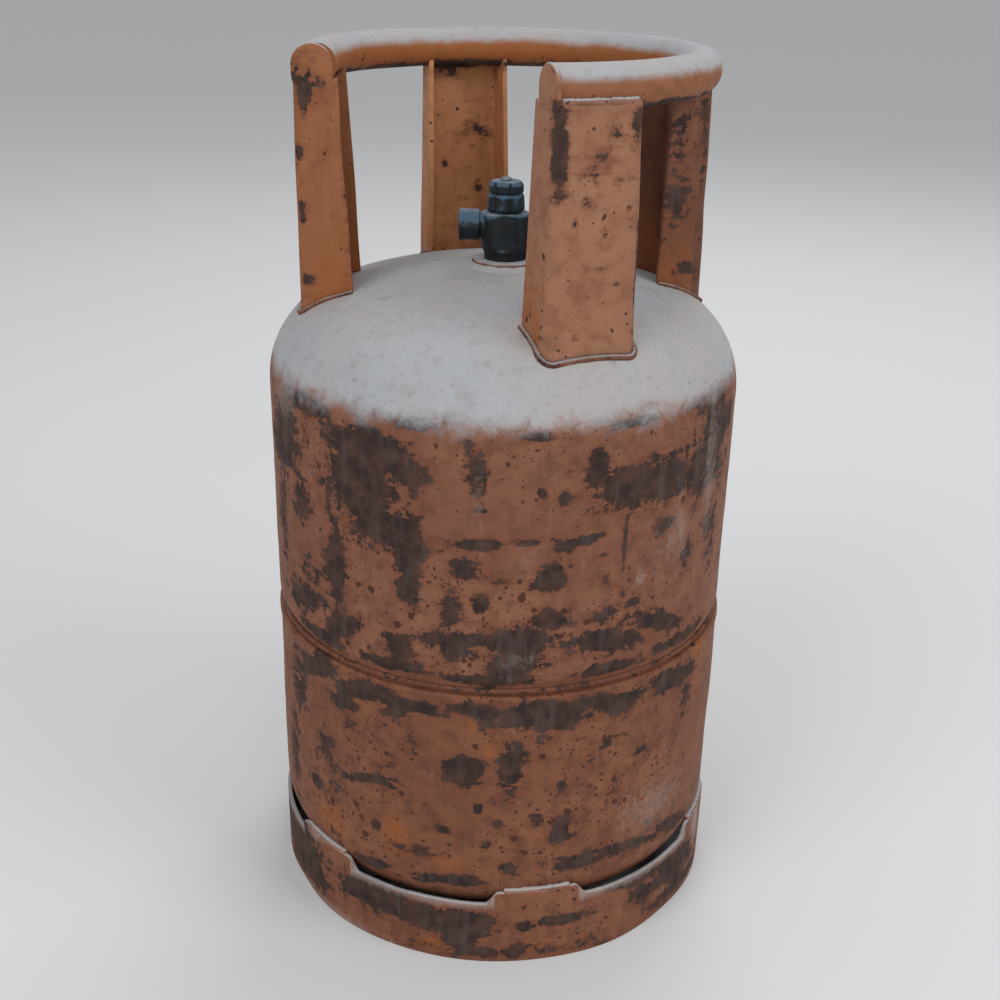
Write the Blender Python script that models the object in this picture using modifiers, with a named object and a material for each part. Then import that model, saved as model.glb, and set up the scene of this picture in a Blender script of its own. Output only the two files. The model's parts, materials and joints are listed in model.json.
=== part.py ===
"""Gas cylinder for liquefied gas, with a tube guard ring on four pressed posts.

The tank is two deep-drawn steel halves. The upper half's rim is stepped in, so that it slips
inside the lower one, and a girth weld fills the groove. A slotted foot ring carries the tank.
A hand-wheel valve with a capped side outlet and a relief valve is screwed into the bung.

Metres, +Z up. The origin is the centre of the foot ring's base. An azimuth is counted from
the front (-Y) towards +X, in degrees.
"""
import bmesh
import bpy
import math
from mathutils import Matrix, Vector

MM = 0.001

# Clearances: between touching pieces, and around pieces that turn or slide
GAP = 0.3 * MM
RUNNING = 0.2 * MM

# Tank: two halves of one radius and wall, with a crowned head at each end
TANK_RADIUS = 157.0 * MM
TANK_WALL = 2.9 * MM
UPPER_TANGENT_Z = 370.0 * MM
UPPER_KNUCKLE = 61.0 * MM
UPPER_CROWN = 382.0 * MM
LOWER_TANGENT_Z = 70.5 * MM
LOWER_KNUCKLE = 42.0 * MM
LOWER_CROWN = 450.0 * MM
SEAM_Z = 207.6 * MM
SEAM_GROOVE = 7.2 * MM
TONGUE_LENGTH = 12.0 * MM
GIRTH_WELD_SINK = 0.7 * MM

# Foot ring: a rolled strip whose top edge is cut away between the welded tabs. It stands
# a little proud of the tank. Its weld beads stop a few degrees short of each tab's ends.
FOOT_PROUD = 1.6 * MM
FOOT_WALL = 3.0 * MM
FOOT_TAB_HEIGHT = 57.5 * MM
FOOT_TABS = 6
FOOT_TAB_ANGLE = 21.0
FOOT_TAB_AZIMUTH = 11.0
FOOT_SLOT_DEPTH = 9.0 * MM
FOOT_SLOT_FILLET = 4.0 * MM
FOOT_BEAD = 1.3 * MM
FOOT_WELD_INSET = 2.0

# Bung: the threaded boss in the top of the tank
BUNG_RADIUS = 21.0 * MM
BUNG_PROUD = 3.3 * MM
BUNG_DEPTH = 20.0 * MM
BUNG_EDGE = 1.0 * MM
BUNG_WELD_WIDTH = 5.5 * MM
BUNG_WELD_HEIGHT = 2.4 * MM

# Guard: four channel posts of bent sheet, set in from the tank's side, and a C-shaped tube
# on top of them. The tube is bent a few degrees too long (RING_SPARE), then cut flush
# inside the end posts' sides.
POST_AZIMUTHS = {"front": 23.0, "right": 110.5, "back": 195.5, "left": 271.0}
POST_INSET = 24.6 * MM
POST_SHEET = 3.0 * MM
POST_BEND = 7.0 * MM
POST_FOOT_WIDTH = 60.5 * MM
POST_TOP_WIDTH = 55.0 * MM
POST_FOOT_DEPTH = 35.0 * MM
POST_TOP_DEPTH = 27.5 * MM
POST_BEAD = 2.2 * MM
WEB_TOP_DROP = 7.5 * MM
GUARD_RISE = 125.8 * MM
GUARD_TUBE_RADIUS = 12.6 * MM
GUARD_TUBE_WALL = 2.3 * MM
RING_BEAD = 1.6 * MM
RING_SPARE = 6.0

# Valve body, screwed into the bung
STEM_RADIUS = 13.5 * MM
STEM_LENGTH = 19.0 * MM
STEM_CHAMFER = 1.0 * MM
NECK_HEIGHT = 5.0 * MM
BODY_RADIUS = 16.0 * MM
BODY_HEIGHT = 30.3 * MM
BODY_CHAMFER = 2.0 * MM
BODY_FLATS = 28.0 * MM
INLET_BORE = 4.5 * MM
SEAT_BORE = 3.2 * MM
SEAT_LIP = 1.0 * MM
SEAT_RISE = 1.2 * MM
SEAT_BORE_DEPTH = 2.0 * MM
CHAMBER_FLOOR = 11.4 * MM
CHAMBER_RADIUS = 7.0 * MM
THREAD_RELIEF = 2.0 * MM

# Gland, spindle and the plug that the spindle's thread lifts off the seat
GLAND_THREAD_RADIUS = 7.8 * MM
GLAND_THREAD_LENGTH = 5.5 * MM
GLAND_HEX_RADIUS = 8.3 * MM
GLAND_HEX_HEIGHT = 4.7 * MM
SPINDLE_RADIUS = 4.0 * MM
SPINDLE_COLLAR_RADIUS = 5.6 * MM
SPINDLE_COLLAR_HEIGHT = 1.6 * MM
SPINDLE_SCREW_RADIUS = 2.6 * MM
SPINDLE_SQUARE = 4.4 * MM
SPINDLE_TOP_DROP = 2.0 * MM
ORING_GROOVE = 1.1 * MM
PLUG_RADIUS = 6.4 * MM
PLUG_ROOF = 0.8 * MM
PLUG_LIFT = 1.875 * MM
SEAT_DISC_RADIUS = 5.0 * MM
SEAT_DISC_HEIGHT = 2.0 * MM
SEAT_DISC_RECESS = 1.0 * MM

# Handwheel: a hollow fluted knob held on the spindle by a screw
KNOB_RADIUS = 12.3 * MM
KNOB_HEIGHT = 19.2 * MM
KNOB_TAPER = 0.8 * MM
KNOB_EDGE = 2.2 * MM
KNOB_GROOVE = 0.7 * MM
KNOB_GROOVE_RISE = 10.6 * MM
KNOB_CAVITY_DEPTH = 7.0 * MM
KNOB_FLUTES = 6
KNOB_FLUTE_RADIUS = 1.9 * MM
KNOB_FLUTE_AZIMUTH = 16.0
SCREW_RADIUS = 1.5 * MM
SCREW_LENGTH = 9.0 * MM
SCREW_HEAD_RADIUS = 3.8 * MM
SCREW_HEAD_HEIGHT = 2.4 * MM
SCREW_SLOT = 0.9 * MM

# Outlet to the left, with its screwed cap and sealing washer
OUTLET_RISE = 21.6 * MM
OUTLET_RADIUS = 8.3 * MM
OUTLET_LENGTH = 27.0 * MM
OUTLET_BORE = 4.5 * MM
WASHER_THICKNESS = 1.2 * MM
CAP_WALL = 1.4 * MM
CAP_END = 1.8 * MM
CAP_RIM = 0.5 * MM
CAP_RIM_WIDTH = 3.0 * MM
CAP_EDGE = 0.8 * MM
CAP_START = 17.0 * MM

# Relief valve to the right
RELIEF_RISE = 9.4 * MM
RELIEF_BOSS_RADIUS = 8.0 * MM
RELIEF_BOSS_LENGTH = 22.0 * MM
RELIEF_PASSAGE = 1.8 * MM
RELIEF_SEAT_X = 9.5 * MM
RELIEF_CHAMBER_RADIUS = 5.4 * MM
RELIEF_DISC_HEIGHT = 1.8 * MM
RELIEF_CAP_THREAD = 3.0 * MM
RELIEF_CAP_HEX = 7.5 * MM
RELIEF_CAP_HEIGHT = 3.0 * MM
RELIEF_VENT = 1.6 * MM
SPRING_WIRE = 0.5 * MM
SPRING_TURNS = 4

# How finely round shapes are divided
TANK_STEPS = 48
VALVE_STEPS = 24
SMALL_STEPS = 16
FLUTE_STEPS = 10
KNUCKLE_STEPS = 5
CROWN_STEPS = 4
RING_STEPS = 36
TUBE_SIDES = 24
COIL_STEPS = 10

# Larger than the whole part, for cutters that must reach past it
BIG = 1.0


# Places worked out from the sizes above

def head_centres(tangent_z, knuckle, crown, up):
    """Centres (radius, z) of a crowned head's knuckle and crown arcs, and the angle where
    they meet. up is 1 for a head that closes the tank's top and -1 for its bottom."""
    knuckle_r = TANK_RADIUS - knuckle
    drop = math.sqrt((crown - knuckle) ** 2 - knuckle_r ** 2)
    meet = math.atan2(drop, knuckle_r)
    return (knuckle_r, tangent_z), (0.0, tangent_z - up * drop), meet


def dome_height(radius, offset=0.0):
    """Height of the upper head's outer surface, moved out by offset, at this radius."""
    (knuckle_r, knuckle_z), (_, crown_z), meet = head_centres(
        UPPER_TANGENT_Z, UPPER_KNUCKLE, UPPER_CROWN, 1)
    crown = UPPER_CROWN + offset
    if radius <= crown * math.cos(meet):
        return crown_z + math.sqrt(crown ** 2 - radius ** 2)
    knuckle = UPPER_KNUCKLE + offset
    return knuckle_z + math.sqrt(max(knuckle ** 2 - (radius - knuckle_r) ** 2, 0.0))


def lower_radius(z):
    """Outer radius of the lower head's knuckle at this height."""
    knuckle_r = TANK_RADIUS - LOWER_KNUCKLE
    return knuckle_r + math.sqrt(LOWER_KNUCKLE ** 2 - (LOWER_TANGENT_Z - z) ** 2)


DOME_TOP_Z = dome_height(0.0)
BUNG_TOP_Z = DOME_TOP_Z + BUNG_PROUD
BUNG_BORE = STEM_RADIUS + GAP
FOOT_RADIUS = TANK_RADIUS + FOOT_PROUD
POST_REACH = TANK_RADIUS - POST_INSET
RING_RADIUS = POST_REACH - GUARD_TUBE_RADIUS
RING_Z = DOME_TOP_Z + GUARD_RISE
RING_FIT = GUARD_TUBE_RADIUS + GAP
POST_FOOT_Z = dome_height(POST_REACH)
WEB_TOP_Z = RING_Z - WEB_TOP_DROP
SEAM_TOP_Z = SEAM_Z + SEAM_GROOVE
TONGUE_RADIUS = TANK_RADIUS - TANK_WALL - GAP
BODY_TOP_Z = BUNG_TOP_Z + BODY_HEIGHT
FLOOR_Z = BUNG_TOP_Z + CHAMBER_FLOOR
SEAT_Z = FLOOR_Z + SEAT_RISE
SEAT_DISC_Z = SEAT_Z + GAP
PLUG_Z = SEAT_DISC_Z + SEAT_DISC_HEIGHT - SEAT_DISC_RECESS
GLAND_HEAD_Z = BODY_TOP_Z + GAP
GLAND_BOTTOM_Z = BODY_TOP_Z - GLAND_THREAD_LENGTH
GLAND_TOP_Z = GLAND_HEAD_Z + GLAND_HEX_HEIGHT
GLAND_BORE = SPINDLE_RADIUS + RUNNING
COLLAR_TOP_Z = GLAND_BOTTOM_Z - GAP
COLLAR_BOTTOM_Z = COLLAR_TOP_Z - SPINDLE_COLLAR_HEIGHT
PLUG_RECESS_Z = PLUG_Z + SEAT_DISC_RECESS + GAP
PLUG_ROOF_Z = PLUG_RECESS_Z + PLUG_ROOF
PLUG_TOP_Z = COLLAR_BOTTOM_Z - PLUG_LIFT - GAP
SPINDLE_TIP_Z = PLUG_ROOF_Z + PLUG_LIFT + GAP
KNOB_Z = BODY_TOP_Z + 3 * GAP
KNOB_TOP_Z = KNOB_Z + KNOB_HEIGHT
KNOB_HUB_Z = max(KNOB_Z + KNOB_CAVITY_DEPTH, GLAND_TOP_Z + GAP)
SPINDLE_TOP_Z = KNOB_TOP_Z - SPINDLE_TOP_DROP
OUTLET_Z = BUNG_TOP_Z + OUTLET_RISE
CAP_BORE = OUTLET_RADIUS + GAP
CAP_RADIUS = CAP_BORE + CAP_WALL
WASHER_X = OUTLET_LENGTH + GAP
CAP_INNER_X = WASHER_X + WASHER_THICKNESS + GAP
RELIEF_Z = BUNG_TOP_Z + RELIEF_RISE
RELIEF_DISC_X = RELIEF_SEAT_X + GAP
RELIEF_CAP_X = RELIEF_BOSS_LENGTH - RELIEF_CAP_THREAD
SPRING_X = RELIEF_DISC_X + RELIEF_DISC_HEIGHT + GAP
SPRING_RADIUS = RELIEF_CHAMBER_RADIUS - SPRING_WIRE - 4 * GAP


# Helpers

def clear_scene():
    """Remove every object of the open file."""
    for item in list(bpy.data.objects):
        bpy.data.objects.remove(item)


def new_collection(name):
    """A collection of the scene."""
    group = bpy.data.collections.new(name)
    bpy.context.scene.collection.children.link(group)
    return group


clear_scene()
PARTS = new_collection("gas_cylinder")
CUTTERS = new_collection("cutters")

ORANGE_PAINT = ((0.30, 0.12, 0.06), 0.72, 0.0)
RUSTY_PAINT = ((0.16, 0.07, 0.05), 0.80, 0.1)
DARK_BRASS = ((0.03, 0.05, 0.07), 0.55, 0.6)
BARE_BRASS = ((0.55, 0.40, 0.15), 0.40, 1.0)
DARK_PLASTIC = ((0.02, 0.035, 0.05), 0.50, 0.0)
RUBBER = ((0.02, 0.02, 0.02), 0.85, 0.0)
NYLON = ((0.75, 0.72, 0.62), 0.45, 0.0)
BARE_STEEL = ((0.40, 0.38, 0.36), 0.40, 1.0)


def give_finish(item, finish):
    """A material of its own for one sub-part: colour, roughness and metallic value."""
    colour, roughness, metallic = finish
    material = bpy.data.materials.new(item.name + "_finish")
    material.use_nodes = True
    shader = material.node_tree.nodes["Principled BSDF"]
    shader.inputs["Base Color"].default_value = (*colour, 1.0)
    shader.inputs["Roughness"].default_value = roughness
    shader.inputs["Metallic"].default_value = metallic
    item.data.materials.clear()
    item.data.materials.append(material)


def place(name, data, finish=None):
    """An object for this mesh or curve: a sub-part if it has a finish, or else a cutter."""
    item = bpy.data.objects.new(name, data)
    if finish is None:
        CUTTERS.objects.link(item)
        item.hide_render = True
        item.display_type = "WIRE"
        return item
    PARTS.objects.link(item)
    give_finish(item, finish)
    return item


def smooth(mesh):
    """Shade round faces smooth and keep corners sharp."""
    mesh.shade_smooth()
    mesh.set_sharp_from_angle(angle=math.radians(35))


def turned(name, outline, steps, finish=None, closed=True):
    """A turned piece: (radius, z) points, running down the outer side, swept round Z."""
    mesh = bpy.data.meshes.new(name)
    points = [(radius, 0.0, z) for radius, z in outline]
    edges = [(i, i + 1) for i in range(len(points) - 1)]
    if closed:
        edges.append((len(points) - 1, 0))
    mesh.from_pydata(points, edges, [])
    item = place(name, mesh, finish)
    screw = item.modifiers.new("Turn", "SCREW")
    screw.axis = "Z"
    screw.steps = steps
    screw.render_steps = steps
    screw.use_merge_vertices = True
    screw.merge_threshold = 0.00001
    screw.use_smooth_shade = True
    return item


def rod(name, radius, low, high, steps, finish=None, turn=0.0):
    """A round or many-sided bar along Z between two heights."""
    mesh = bpy.data.meshes.new(name)
    shape = bmesh.new()
    bmesh.ops.create_cone(
        shape, cap_ends=True, segments=steps, radius1=radius, radius2=radius, depth=high - low,
        matrix=Matrix.Translation((0, 0, (low + high) / 2)) @ Matrix.Rotation(turn, 4, "Z"))
    shape.to_mesh(mesh)
    shape.free()
    smooth(mesh)
    return place(name, mesh, finish)


def block(name, low, high, finish=None):
    """A box between two corners."""
    mesh = bpy.data.meshes.new(name)
    shape = bmesh.new()
    low, high = Vector(low), Vector(high)
    size = high - low
    bmesh.ops.create_cube(
        shape, size=1.0, matrix=Matrix.Translation((low + high) / 2) @ Matrix.Diagonal((*size, 1)))
    shape.to_mesh(mesh)
    shape.free()
    return place(name, mesh, finish)


def bar(name, points, radius, finish=None, resolution=1, caps=True):
    """A round bar along a row of points."""
    curve = bpy.data.curves.new(name, "CURVE")
    curve.dimensions = "3D"
    curve.bevel_depth = radius
    curve.bevel_resolution = resolution
    curve.use_fill_caps = caps
    spline = curve.splines.new("POLY")
    spline.points.add(len(points) - 1)
    for point, place_at in zip(spline.points, points):
        point.co = (*place_at, 1.0)
    return place(name, curve, finish)


def as_mesh(items, name, finish=None):
    """One object from the evaluated shapes of these objects, which are then removed."""
    bpy.context.view_layer.update()
    depsgraph = bpy.context.evaluated_depsgraph_get()
    shape = bmesh.new()
    for item in items:
        part = bpy.data.meshes.new_from_object(item.evaluated_get(depsgraph))
        part.transform(item.matrix_world)
        shape.from_mesh(part)
        bpy.data.meshes.remove(part)
    bmesh.ops.remove_doubles(shape, verts=shape.verts, dist=0.00001)
    mesh = bpy.data.meshes.new(name)
    shape.to_mesh(mesh)
    shape.free()
    smooth(mesh)
    for item in items:
        bpy.data.objects.remove(item)
    return place(name, mesh, finish)


def combine(item, other, operation):
    """Cut one object with another, or join them."""
    step = item.modifiers.new(operation.title(), "BOOLEAN")
    step.operation = operation
    step.solver = "EXACT"
    step.object = other
    if operation == "UNION":
        other.hide_render = True
        other.display_type = "WIRE"


def lay_along_x(item, z, to_right):
    """Turn a piece made along +Z so that it points right (+X) or left (-X), at height z."""
    item.rotation_euler = (0.0, math.radians(90 if to_right else -90), 0.0)
    item.location = (0.0, 0.0, z)


def out_from_axis(azimuth, reach, aside, z):
    """A point: reach away from the axis at this azimuth, then aside towards higher azimuths."""
    angle = math.radians(azimuth)
    outward = Vector((math.sin(angle), -math.cos(angle), 0.0))
    sideways = Vector((math.cos(angle), math.sin(angle), 0.0))
    return outward * reach + sideways * aside + Vector((0.0, 0.0, z))


# Tank

def head_outline(tangent_z, knuckle, crown, up, inset, start):
    """(radius, z) points of a head from radius start out to the tangent line."""
    (knuckle_r, knuckle_z), (_, crown_z), meet = head_centres(tangent_z, knuckle, crown, up)
    crown_radius = crown - inset
    first = math.acos(start / crown_radius)
    points = []
    for i in range(CROWN_STEPS):
        angle = first + (meet - first) * i / CROWN_STEPS
        points.append((crown_radius * math.cos(angle),
                       crown_z + up * crown_radius * math.sin(angle)))
    for i in range(KNUCKLE_STEPS + 1):
        angle = meet * (1 - i / KNUCKLE_STEPS)
        reach = knuckle - inset
        points.append((knuckle_r + reach * math.cos(angle),
                       knuckle_z + up * reach * math.sin(angle)))
    return points


def upper_shell():
    """The upper half: crowned head with the bung's hole, side wall, stepped-in rim."""
    hole = BUNG_RADIUS + GAP
    sizes = (UPPER_TANGENT_Z, UPPER_KNUCKLE, UPPER_CROWN, 1)
    outer = head_outline(*sizes, 0.0, hole)
    inner = head_outline(*sizes, TANK_WALL, hole)
    step_z = SEAM_TOP_Z - GAP
    tongue_z = SEAM_Z - TONGUE_LENGTH
    step = TANK_RADIUS - TONGUE_RADIUS
    outer += [(TANK_RADIUS, SEAM_TOP_Z + step / 2), (TONGUE_RADIUS, step_z), (TONGUE_RADIUS, tongue_z)]
    inner += [(TANK_RADIUS - TANK_WALL, SEAM_TOP_Z + step),
              (TONGUE_RADIUS - TANK_WALL, SEAM_TOP_Z + GAP),
              (TONGUE_RADIUS - TANK_WALL, tongue_z)]
    return turned("upper_shell", outer + inner[::-1], TANK_STEPS, ORANGE_PAINT)


def lower_shell():
    """The lower half: side wall with a plain rim, closed by a flatter crowned head."""
    sizes = (LOWER_TANGENT_Z, LOWER_KNUCKLE, LOWER_CROWN, -1)
    outer = head_outline(*sizes, 0.0, 0.0) + [(TANK_RADIUS, SEAM_Z)]
    inner = head_outline(*sizes, TANK_WALL, 0.0) + [(TANK_RADIUS - TANK_WALL, SEAM_Z)]
    return turned("lower_shell", inner + outer[::-1], TANK_STEPS, ORANGE_PAINT, closed=False)


def girth_weld():
    """The bead in the groove between the lower rim and the upper half's step."""
    low = SEAM_Z + GAP
    high = SEAM_TOP_Z - 4 * GAP
    back = TONGUE_RADIUS + GAP
    crest = TANK_RADIUS - GIRTH_WELD_SINK
    side = (back + 2 * crest) / 3
    outline = [(back, high), (side, high - GAP), (crest, (low + high) / 2), (side, low + GAP), (back, low)]
    return turned("girth_weld", outline, TANK_STEPS, RUSTY_PAINT)


def valve_bung():
    """The boss, which stands a little above the tank and hangs inside it."""
    low = DOME_TOP_Z - BUNG_DEPTH
    outline = [(BUNG_BORE, BUNG_TOP_Z), (BUNG_RADIUS - BUNG_EDGE, BUNG_TOP_Z),
               (BUNG_RADIUS, BUNG_TOP_Z - BUNG_EDGE), (BUNG_RADIUS, low + BUNG_EDGE),
               (BUNG_RADIUS - BUNG_EDGE, low), (BUNG_BORE, low)]
    return turned("valve_bung", outline, VALVE_STEPS, RUSTY_PAINT)


def bung_weld():
    """The fillet between the bung and the tank's top."""
    inner = BUNG_RADIUS + GAP
    outer = inner + BUNG_WELD_WIDTH
    middle = (inner + outer) / 2
    outline = [(inner, dome_height(inner, GAP) + BUNG_WELD_HEIGHT),
               (middle, dome_height(middle, GAP) + BUNG_WELD_HEIGHT * 0.75),
               (outer, dome_height(outer, GAP) + BUNG_WELD_HEIGHT * 0.2),
               (outer, dome_height(outer, GAP)),
               (inner, dome_height(inner, GAP))]
    return turned("bung_weld", outline, VALVE_STEPS, RUSTY_PAINT)


# Foot ring

def wedge_points(azimuth, half_angle):
    """A flat triangle from the axis that spans an angle, for cutting slots."""
    sides = [out_from_axis(azimuth + turn, BIG, 0.0, 0.0) for turn in (-half_angle, half_angle)]
    return [Vector((0.0, 0.0, 0.0))] + sides


def slot_cutter(index):
    """A wedge over one slot, with its lower corners rounded."""
    pitch = 360.0 / FOOT_TABS
    azimuth = FOOT_TAB_AZIMUTH + pitch * (index + 0.5)
    corners = wedge_points(azimuth, (pitch - FOOT_TAB_ANGLE) / 2)
    low = FOOT_TAB_HEIGHT - FOOT_SLOT_DEPTH
    shape = bmesh.new()
    base = shape.faces.new([shape.verts.new(corner + Vector((0, 0, low))) for corner in corners])
    grown = bmesh.ops.extrude_face_region(shape, geom=[base])
    raised = [item for item in grown["geom"] if isinstance(item, bmesh.types.BMVert)]
    bmesh.ops.translate(shape, verts=raised, vec=(0, 0, FOOT_SLOT_DEPTH * 2))
    bmesh.ops.recalc_face_normals(shape, faces=shape.faces)
    shape.edges.ensure_lookup_table()
    rounded = [edge for edge in shape.edges if is_radial_base(edge, low)]
    bmesh.ops.bevel(shape, geom=rounded, offset=FOOT_SLOT_FILLET, segments=3, affect="EDGES", profile=0.5)
    mesh = bpy.data.meshes.new("slot_cutter")
    shape.to_mesh(mesh)
    shape.free()
    return place("slot_cutter_%d" % index, mesh)


def is_radial_base(edge, low):
    """True for the two lower edges of a wedge that run out from the axis."""
    ends = [vertex.co for vertex in edge.verts]
    on_axis = [end for end in ends if math.hypot(end.x, end.y) < MM]
    return len(on_axis) == 1 and all(abs(end.z - low) < MM for end in ends)


def foot_ring():
    """The rolled strip under the tank, with long slots between the tabs."""
    inner = FOOT_RADIUS - FOOT_WALL
    outline = [(FOOT_RADIUS, FOOT_TAB_HEIGHT), (FOOT_RADIUS, 0.0), (inner, 0.0), (inner, FOOT_TAB_HEIGHT)]
    ring = turned("foot_ring", outline, TANK_STEPS, RUSTY_PAINT)
    for index in range(FOOT_TABS):
        combine(ring, slot_cutter(index), "DIFFERENCE")
    return ring


def foot_ring_welds():
    """A short bead on each tab's top edge, against the tank."""
    z = FOOT_TAB_HEIGHT + FOOT_BEAD + GAP
    radius = lower_radius(z) + FOOT_BEAD + GAP
    half = FOOT_TAB_ANGLE / 2 - FOOT_WELD_INSET
    for index in range(FOOT_TABS):
        middle = FOOT_TAB_AZIMUTH + index * 360.0 / FOOT_TABS
        points = [out_from_axis(middle + half * (i / 3 - 1), radius, 0.0, z) for i in range(7)]
        bar("foot_ring_weld_%d" % (index + 1), points, FOOT_BEAD, RUSTY_PAINT)


# Guard

def post_share(z):
    """How far up a post this height is: 0 at its foot and 1 at the tube."""
    return (z - POST_FOOT_Z) / (RING_Z - POST_FOOT_Z)


def post_half_width(z):
    """Half a post's width at this height."""
    return (POST_FOOT_WIDTH + (POST_TOP_WIDTH - POST_FOOT_WIDTH) * post_share(z)) / 2


def post_depth(z):
    """How far a post's sides reach in at this height."""
    return POST_FOOT_DEPTH + (POST_TOP_DEPTH - POST_FOOT_DEPTH) * post_share(z)


def post_outline(z, outset=0.0, bend_steps=3):
    """(reach, aside) points of a post's outer face: side, bend, web, bend, side."""
    half = post_half_width(z)
    inner_end = POST_REACH - post_depth(z)
    corner_reach = POST_REACH - POST_BEND
    corner_aside = half - POST_BEND
    bend = POST_BEND + outset
    side = [(inner_end, half + outset)]
    for i in range(bend_steps + 1):
        angle = math.radians(90) * (1 - i / bend_steps)
        side.append((corner_reach + bend * math.cos(angle), corner_aside + bend * math.sin(angle)))
    mirrored = [(reach, -aside) for reach, aside in side[::-1]]
    return side + mirrored


def tank_cutter():
    """The upper half's outer shape, a little larger, for trimming the posts' feet."""
    top = head_outline(UPPER_TANGENT_Z, UPPER_KNUCKLE, UPPER_CROWN, 1, -GAP, 0.0)
    low = UPPER_TANGENT_Z - 2 * UPPER_KNUCKLE
    outline = top + [(TANK_RADIUS + GAP, low), (0.0, low)]
    return turned("tank_cutter", outline, TANK_STEPS, closed=False)


def ring_points(first, last, steps):
    """Points of the tube's centre line between two azimuths."""
    return [out_from_axis(first + (last - first) * i / steps, RING_RADIUS, 0.0, RING_Z)
            for i in range(steps + 1)]


def end_angle(aside):
    """The azimuth, counted from a post's middle, at which the tube is this far aside."""
    return math.degrees(math.asin(aside / RING_RADIUS))


def ring_cutter():
    """A full ring, a little fatter than the tube, that cuts the posts' saddles."""
    return turned_ring("ring_cutter", RING_RADIUS, RING_Z, RING_FIT, 2 * TANK_STEPS, TUBE_SIDES)


def turned_ring(name, radius, z, section, steps, sides, finish=None):
    """A full ring with a round section."""
    outline = []
    for i in range(sides):
        angle = 2 * math.pi * i / sides
        outline.append((radius + section * math.cos(angle), z - section * math.sin(angle)))
    return turned(name, outline, steps, finish)


def post_channel(name, azimuth, finish):
    """A tapered channel of bent sheet, open towards the axis, before it is trimmed."""
    low, high = UPPER_TANGENT_Z, RING_Z + 3 * GUARD_TUBE_RADIUS
    shape = bmesh.new()
    rows = []
    for z in (low, high):
        rows.append([shape.verts.new(out_from_axis(azimuth, reach, aside, z))
                     for reach, aside in post_outline(z)])
    for i in range(len(rows[0]) - 1):
        shape.faces.new((rows[0][i], rows[1][i], rows[1][i + 1], rows[0][i + 1]))
    mesh = bpy.data.meshes.new(name)
    shape.to_mesh(mesh)
    shape.free()
    item = place(name, mesh, finish)
    sheet = item.modifiers.new("Sheet", "SOLIDIFY")
    sheet.thickness = POST_SHEET
    sheet.offset = -1.0
    sheet.use_even_offset = True
    return item


def end_plate(name, azimuth, side):
    """The round top of a post's side that closes the tube's end."""
    outer = post_half_width(RING_Z)
    plate = rod(name, GUARD_TUBE_RADIUS + GAP, outer - POST_SHEET, outer, VALVE_STEPS)
    out = out_from_axis(azimuth, 1.0, 0.0, 0.0)
    along = out_from_axis(azimuth, 0.0, side, 0.0)
    across = along.cross(out)
    turn = Matrix((out, across, along)).transposed().to_4x4()
    plate.matrix_world = Matrix.Translation(out_from_axis(azimuth, RING_RADIUS, 0.0, RING_Z)) @ turn
    return plate


def guard_post(place_name, tank, ring):
    """One post: cut to the tank at its foot and to the tube at its top."""
    azimuth = POST_AZIMUTHS[place_name]
    post = post_channel("guard_post_" + place_name, azimuth, ORANGE_PAINT)
    combine(post, tank, "DIFFERENCE")
    above = block("above_" + place_name, (-BIG, -BIG, WEB_TOP_Z), (BIG, BIG, BIG))
    combine(post, above, "DIFFERENCE")
    combine(post, ring, "DIFFERENCE")
    closed_side = {"front": -1, "left": 1}.get(place_name)
    if closed_side:
        combine(post, end_plate("plate_" + place_name, azimuth, closed_side), "UNION")
    return post


def finely(points, step):
    """The same line with points no further apart than about one step."""
    fine = [points[0]]
    for start, end in zip(points, points[1:]):
        count = max(1, round(math.dist(start, end) / step))
        for i in range(1, count + 1):
            share = i / count
            fine.append(tuple(a + (b - a) * share for a, b in zip(start, end)))
    return fine


def post_foot_welds():
    """A bead round the outside of each post's foot, on the tank's top."""
    lift = POST_BEAD + GAP
    outline = finely(post_outline(POST_FOOT_Z, outset=lift + GAP), 4 * POST_BEAD)
    for name, azimuth in POST_AZIMUTHS.items():
        points = []
        for reach, aside in outline:
            z = dome_height(math.hypot(reach, aside), lift + GAP)
            points.append(out_from_axis(azimuth, reach, aside, z))
        bar("post_foot_weld_" + name, points, POST_BEAD, RUSTY_PAINT)


def guard_ring():
    """The C-shaped tube, from the front post round the back to the left post."""
    reach_in = post_half_width(RING_Z) - POST_SHEET - GAP
    first = POST_AZIMUTHS["front"] - end_angle(reach_in) - RING_SPARE
    last = POST_AZIMUTHS["left"] + end_angle(reach_in) + RING_SPARE
    line = ring_points(first, last, RING_STEPS)
    tube = bar("tube_line", line, GUARD_TUBE_RADIUS, resolution=4, caps=False)
    ring = as_mesh([tube], "guard_ring", ORANGE_PAINT)
    wall = ring.modifiers.new("Wall", "SOLIDIFY")
    wall.thickness = GUARD_TUBE_WALL
    wall.offset = -1.0
    wall.use_even_offset = True
    for post, side in (("front", -1), ("left", 1)):
        cutter = block("trim_" + post, (-BIG, reach_in, -BIG), (BIG, BIG, BIG))
        out = out_from_axis(POST_AZIMUTHS[post], 1.0, 0.0, 0.0)
        along = out_from_axis(POST_AZIMUTHS[post], 0.0, side, 0.0)
        turn = Matrix((out, along, out.cross(along))).transposed().to_4x4()
        half = block("half_" + post, (0.0, -BIG, -BIG), (BIG, BIG, BIG))
        cutter.matrix_world = turn
        half.matrix_world = turn
        combine(cutter, half, "INTERSECT")
        combine(ring, cutter, "DIFFERENCE")
    return ring


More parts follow.
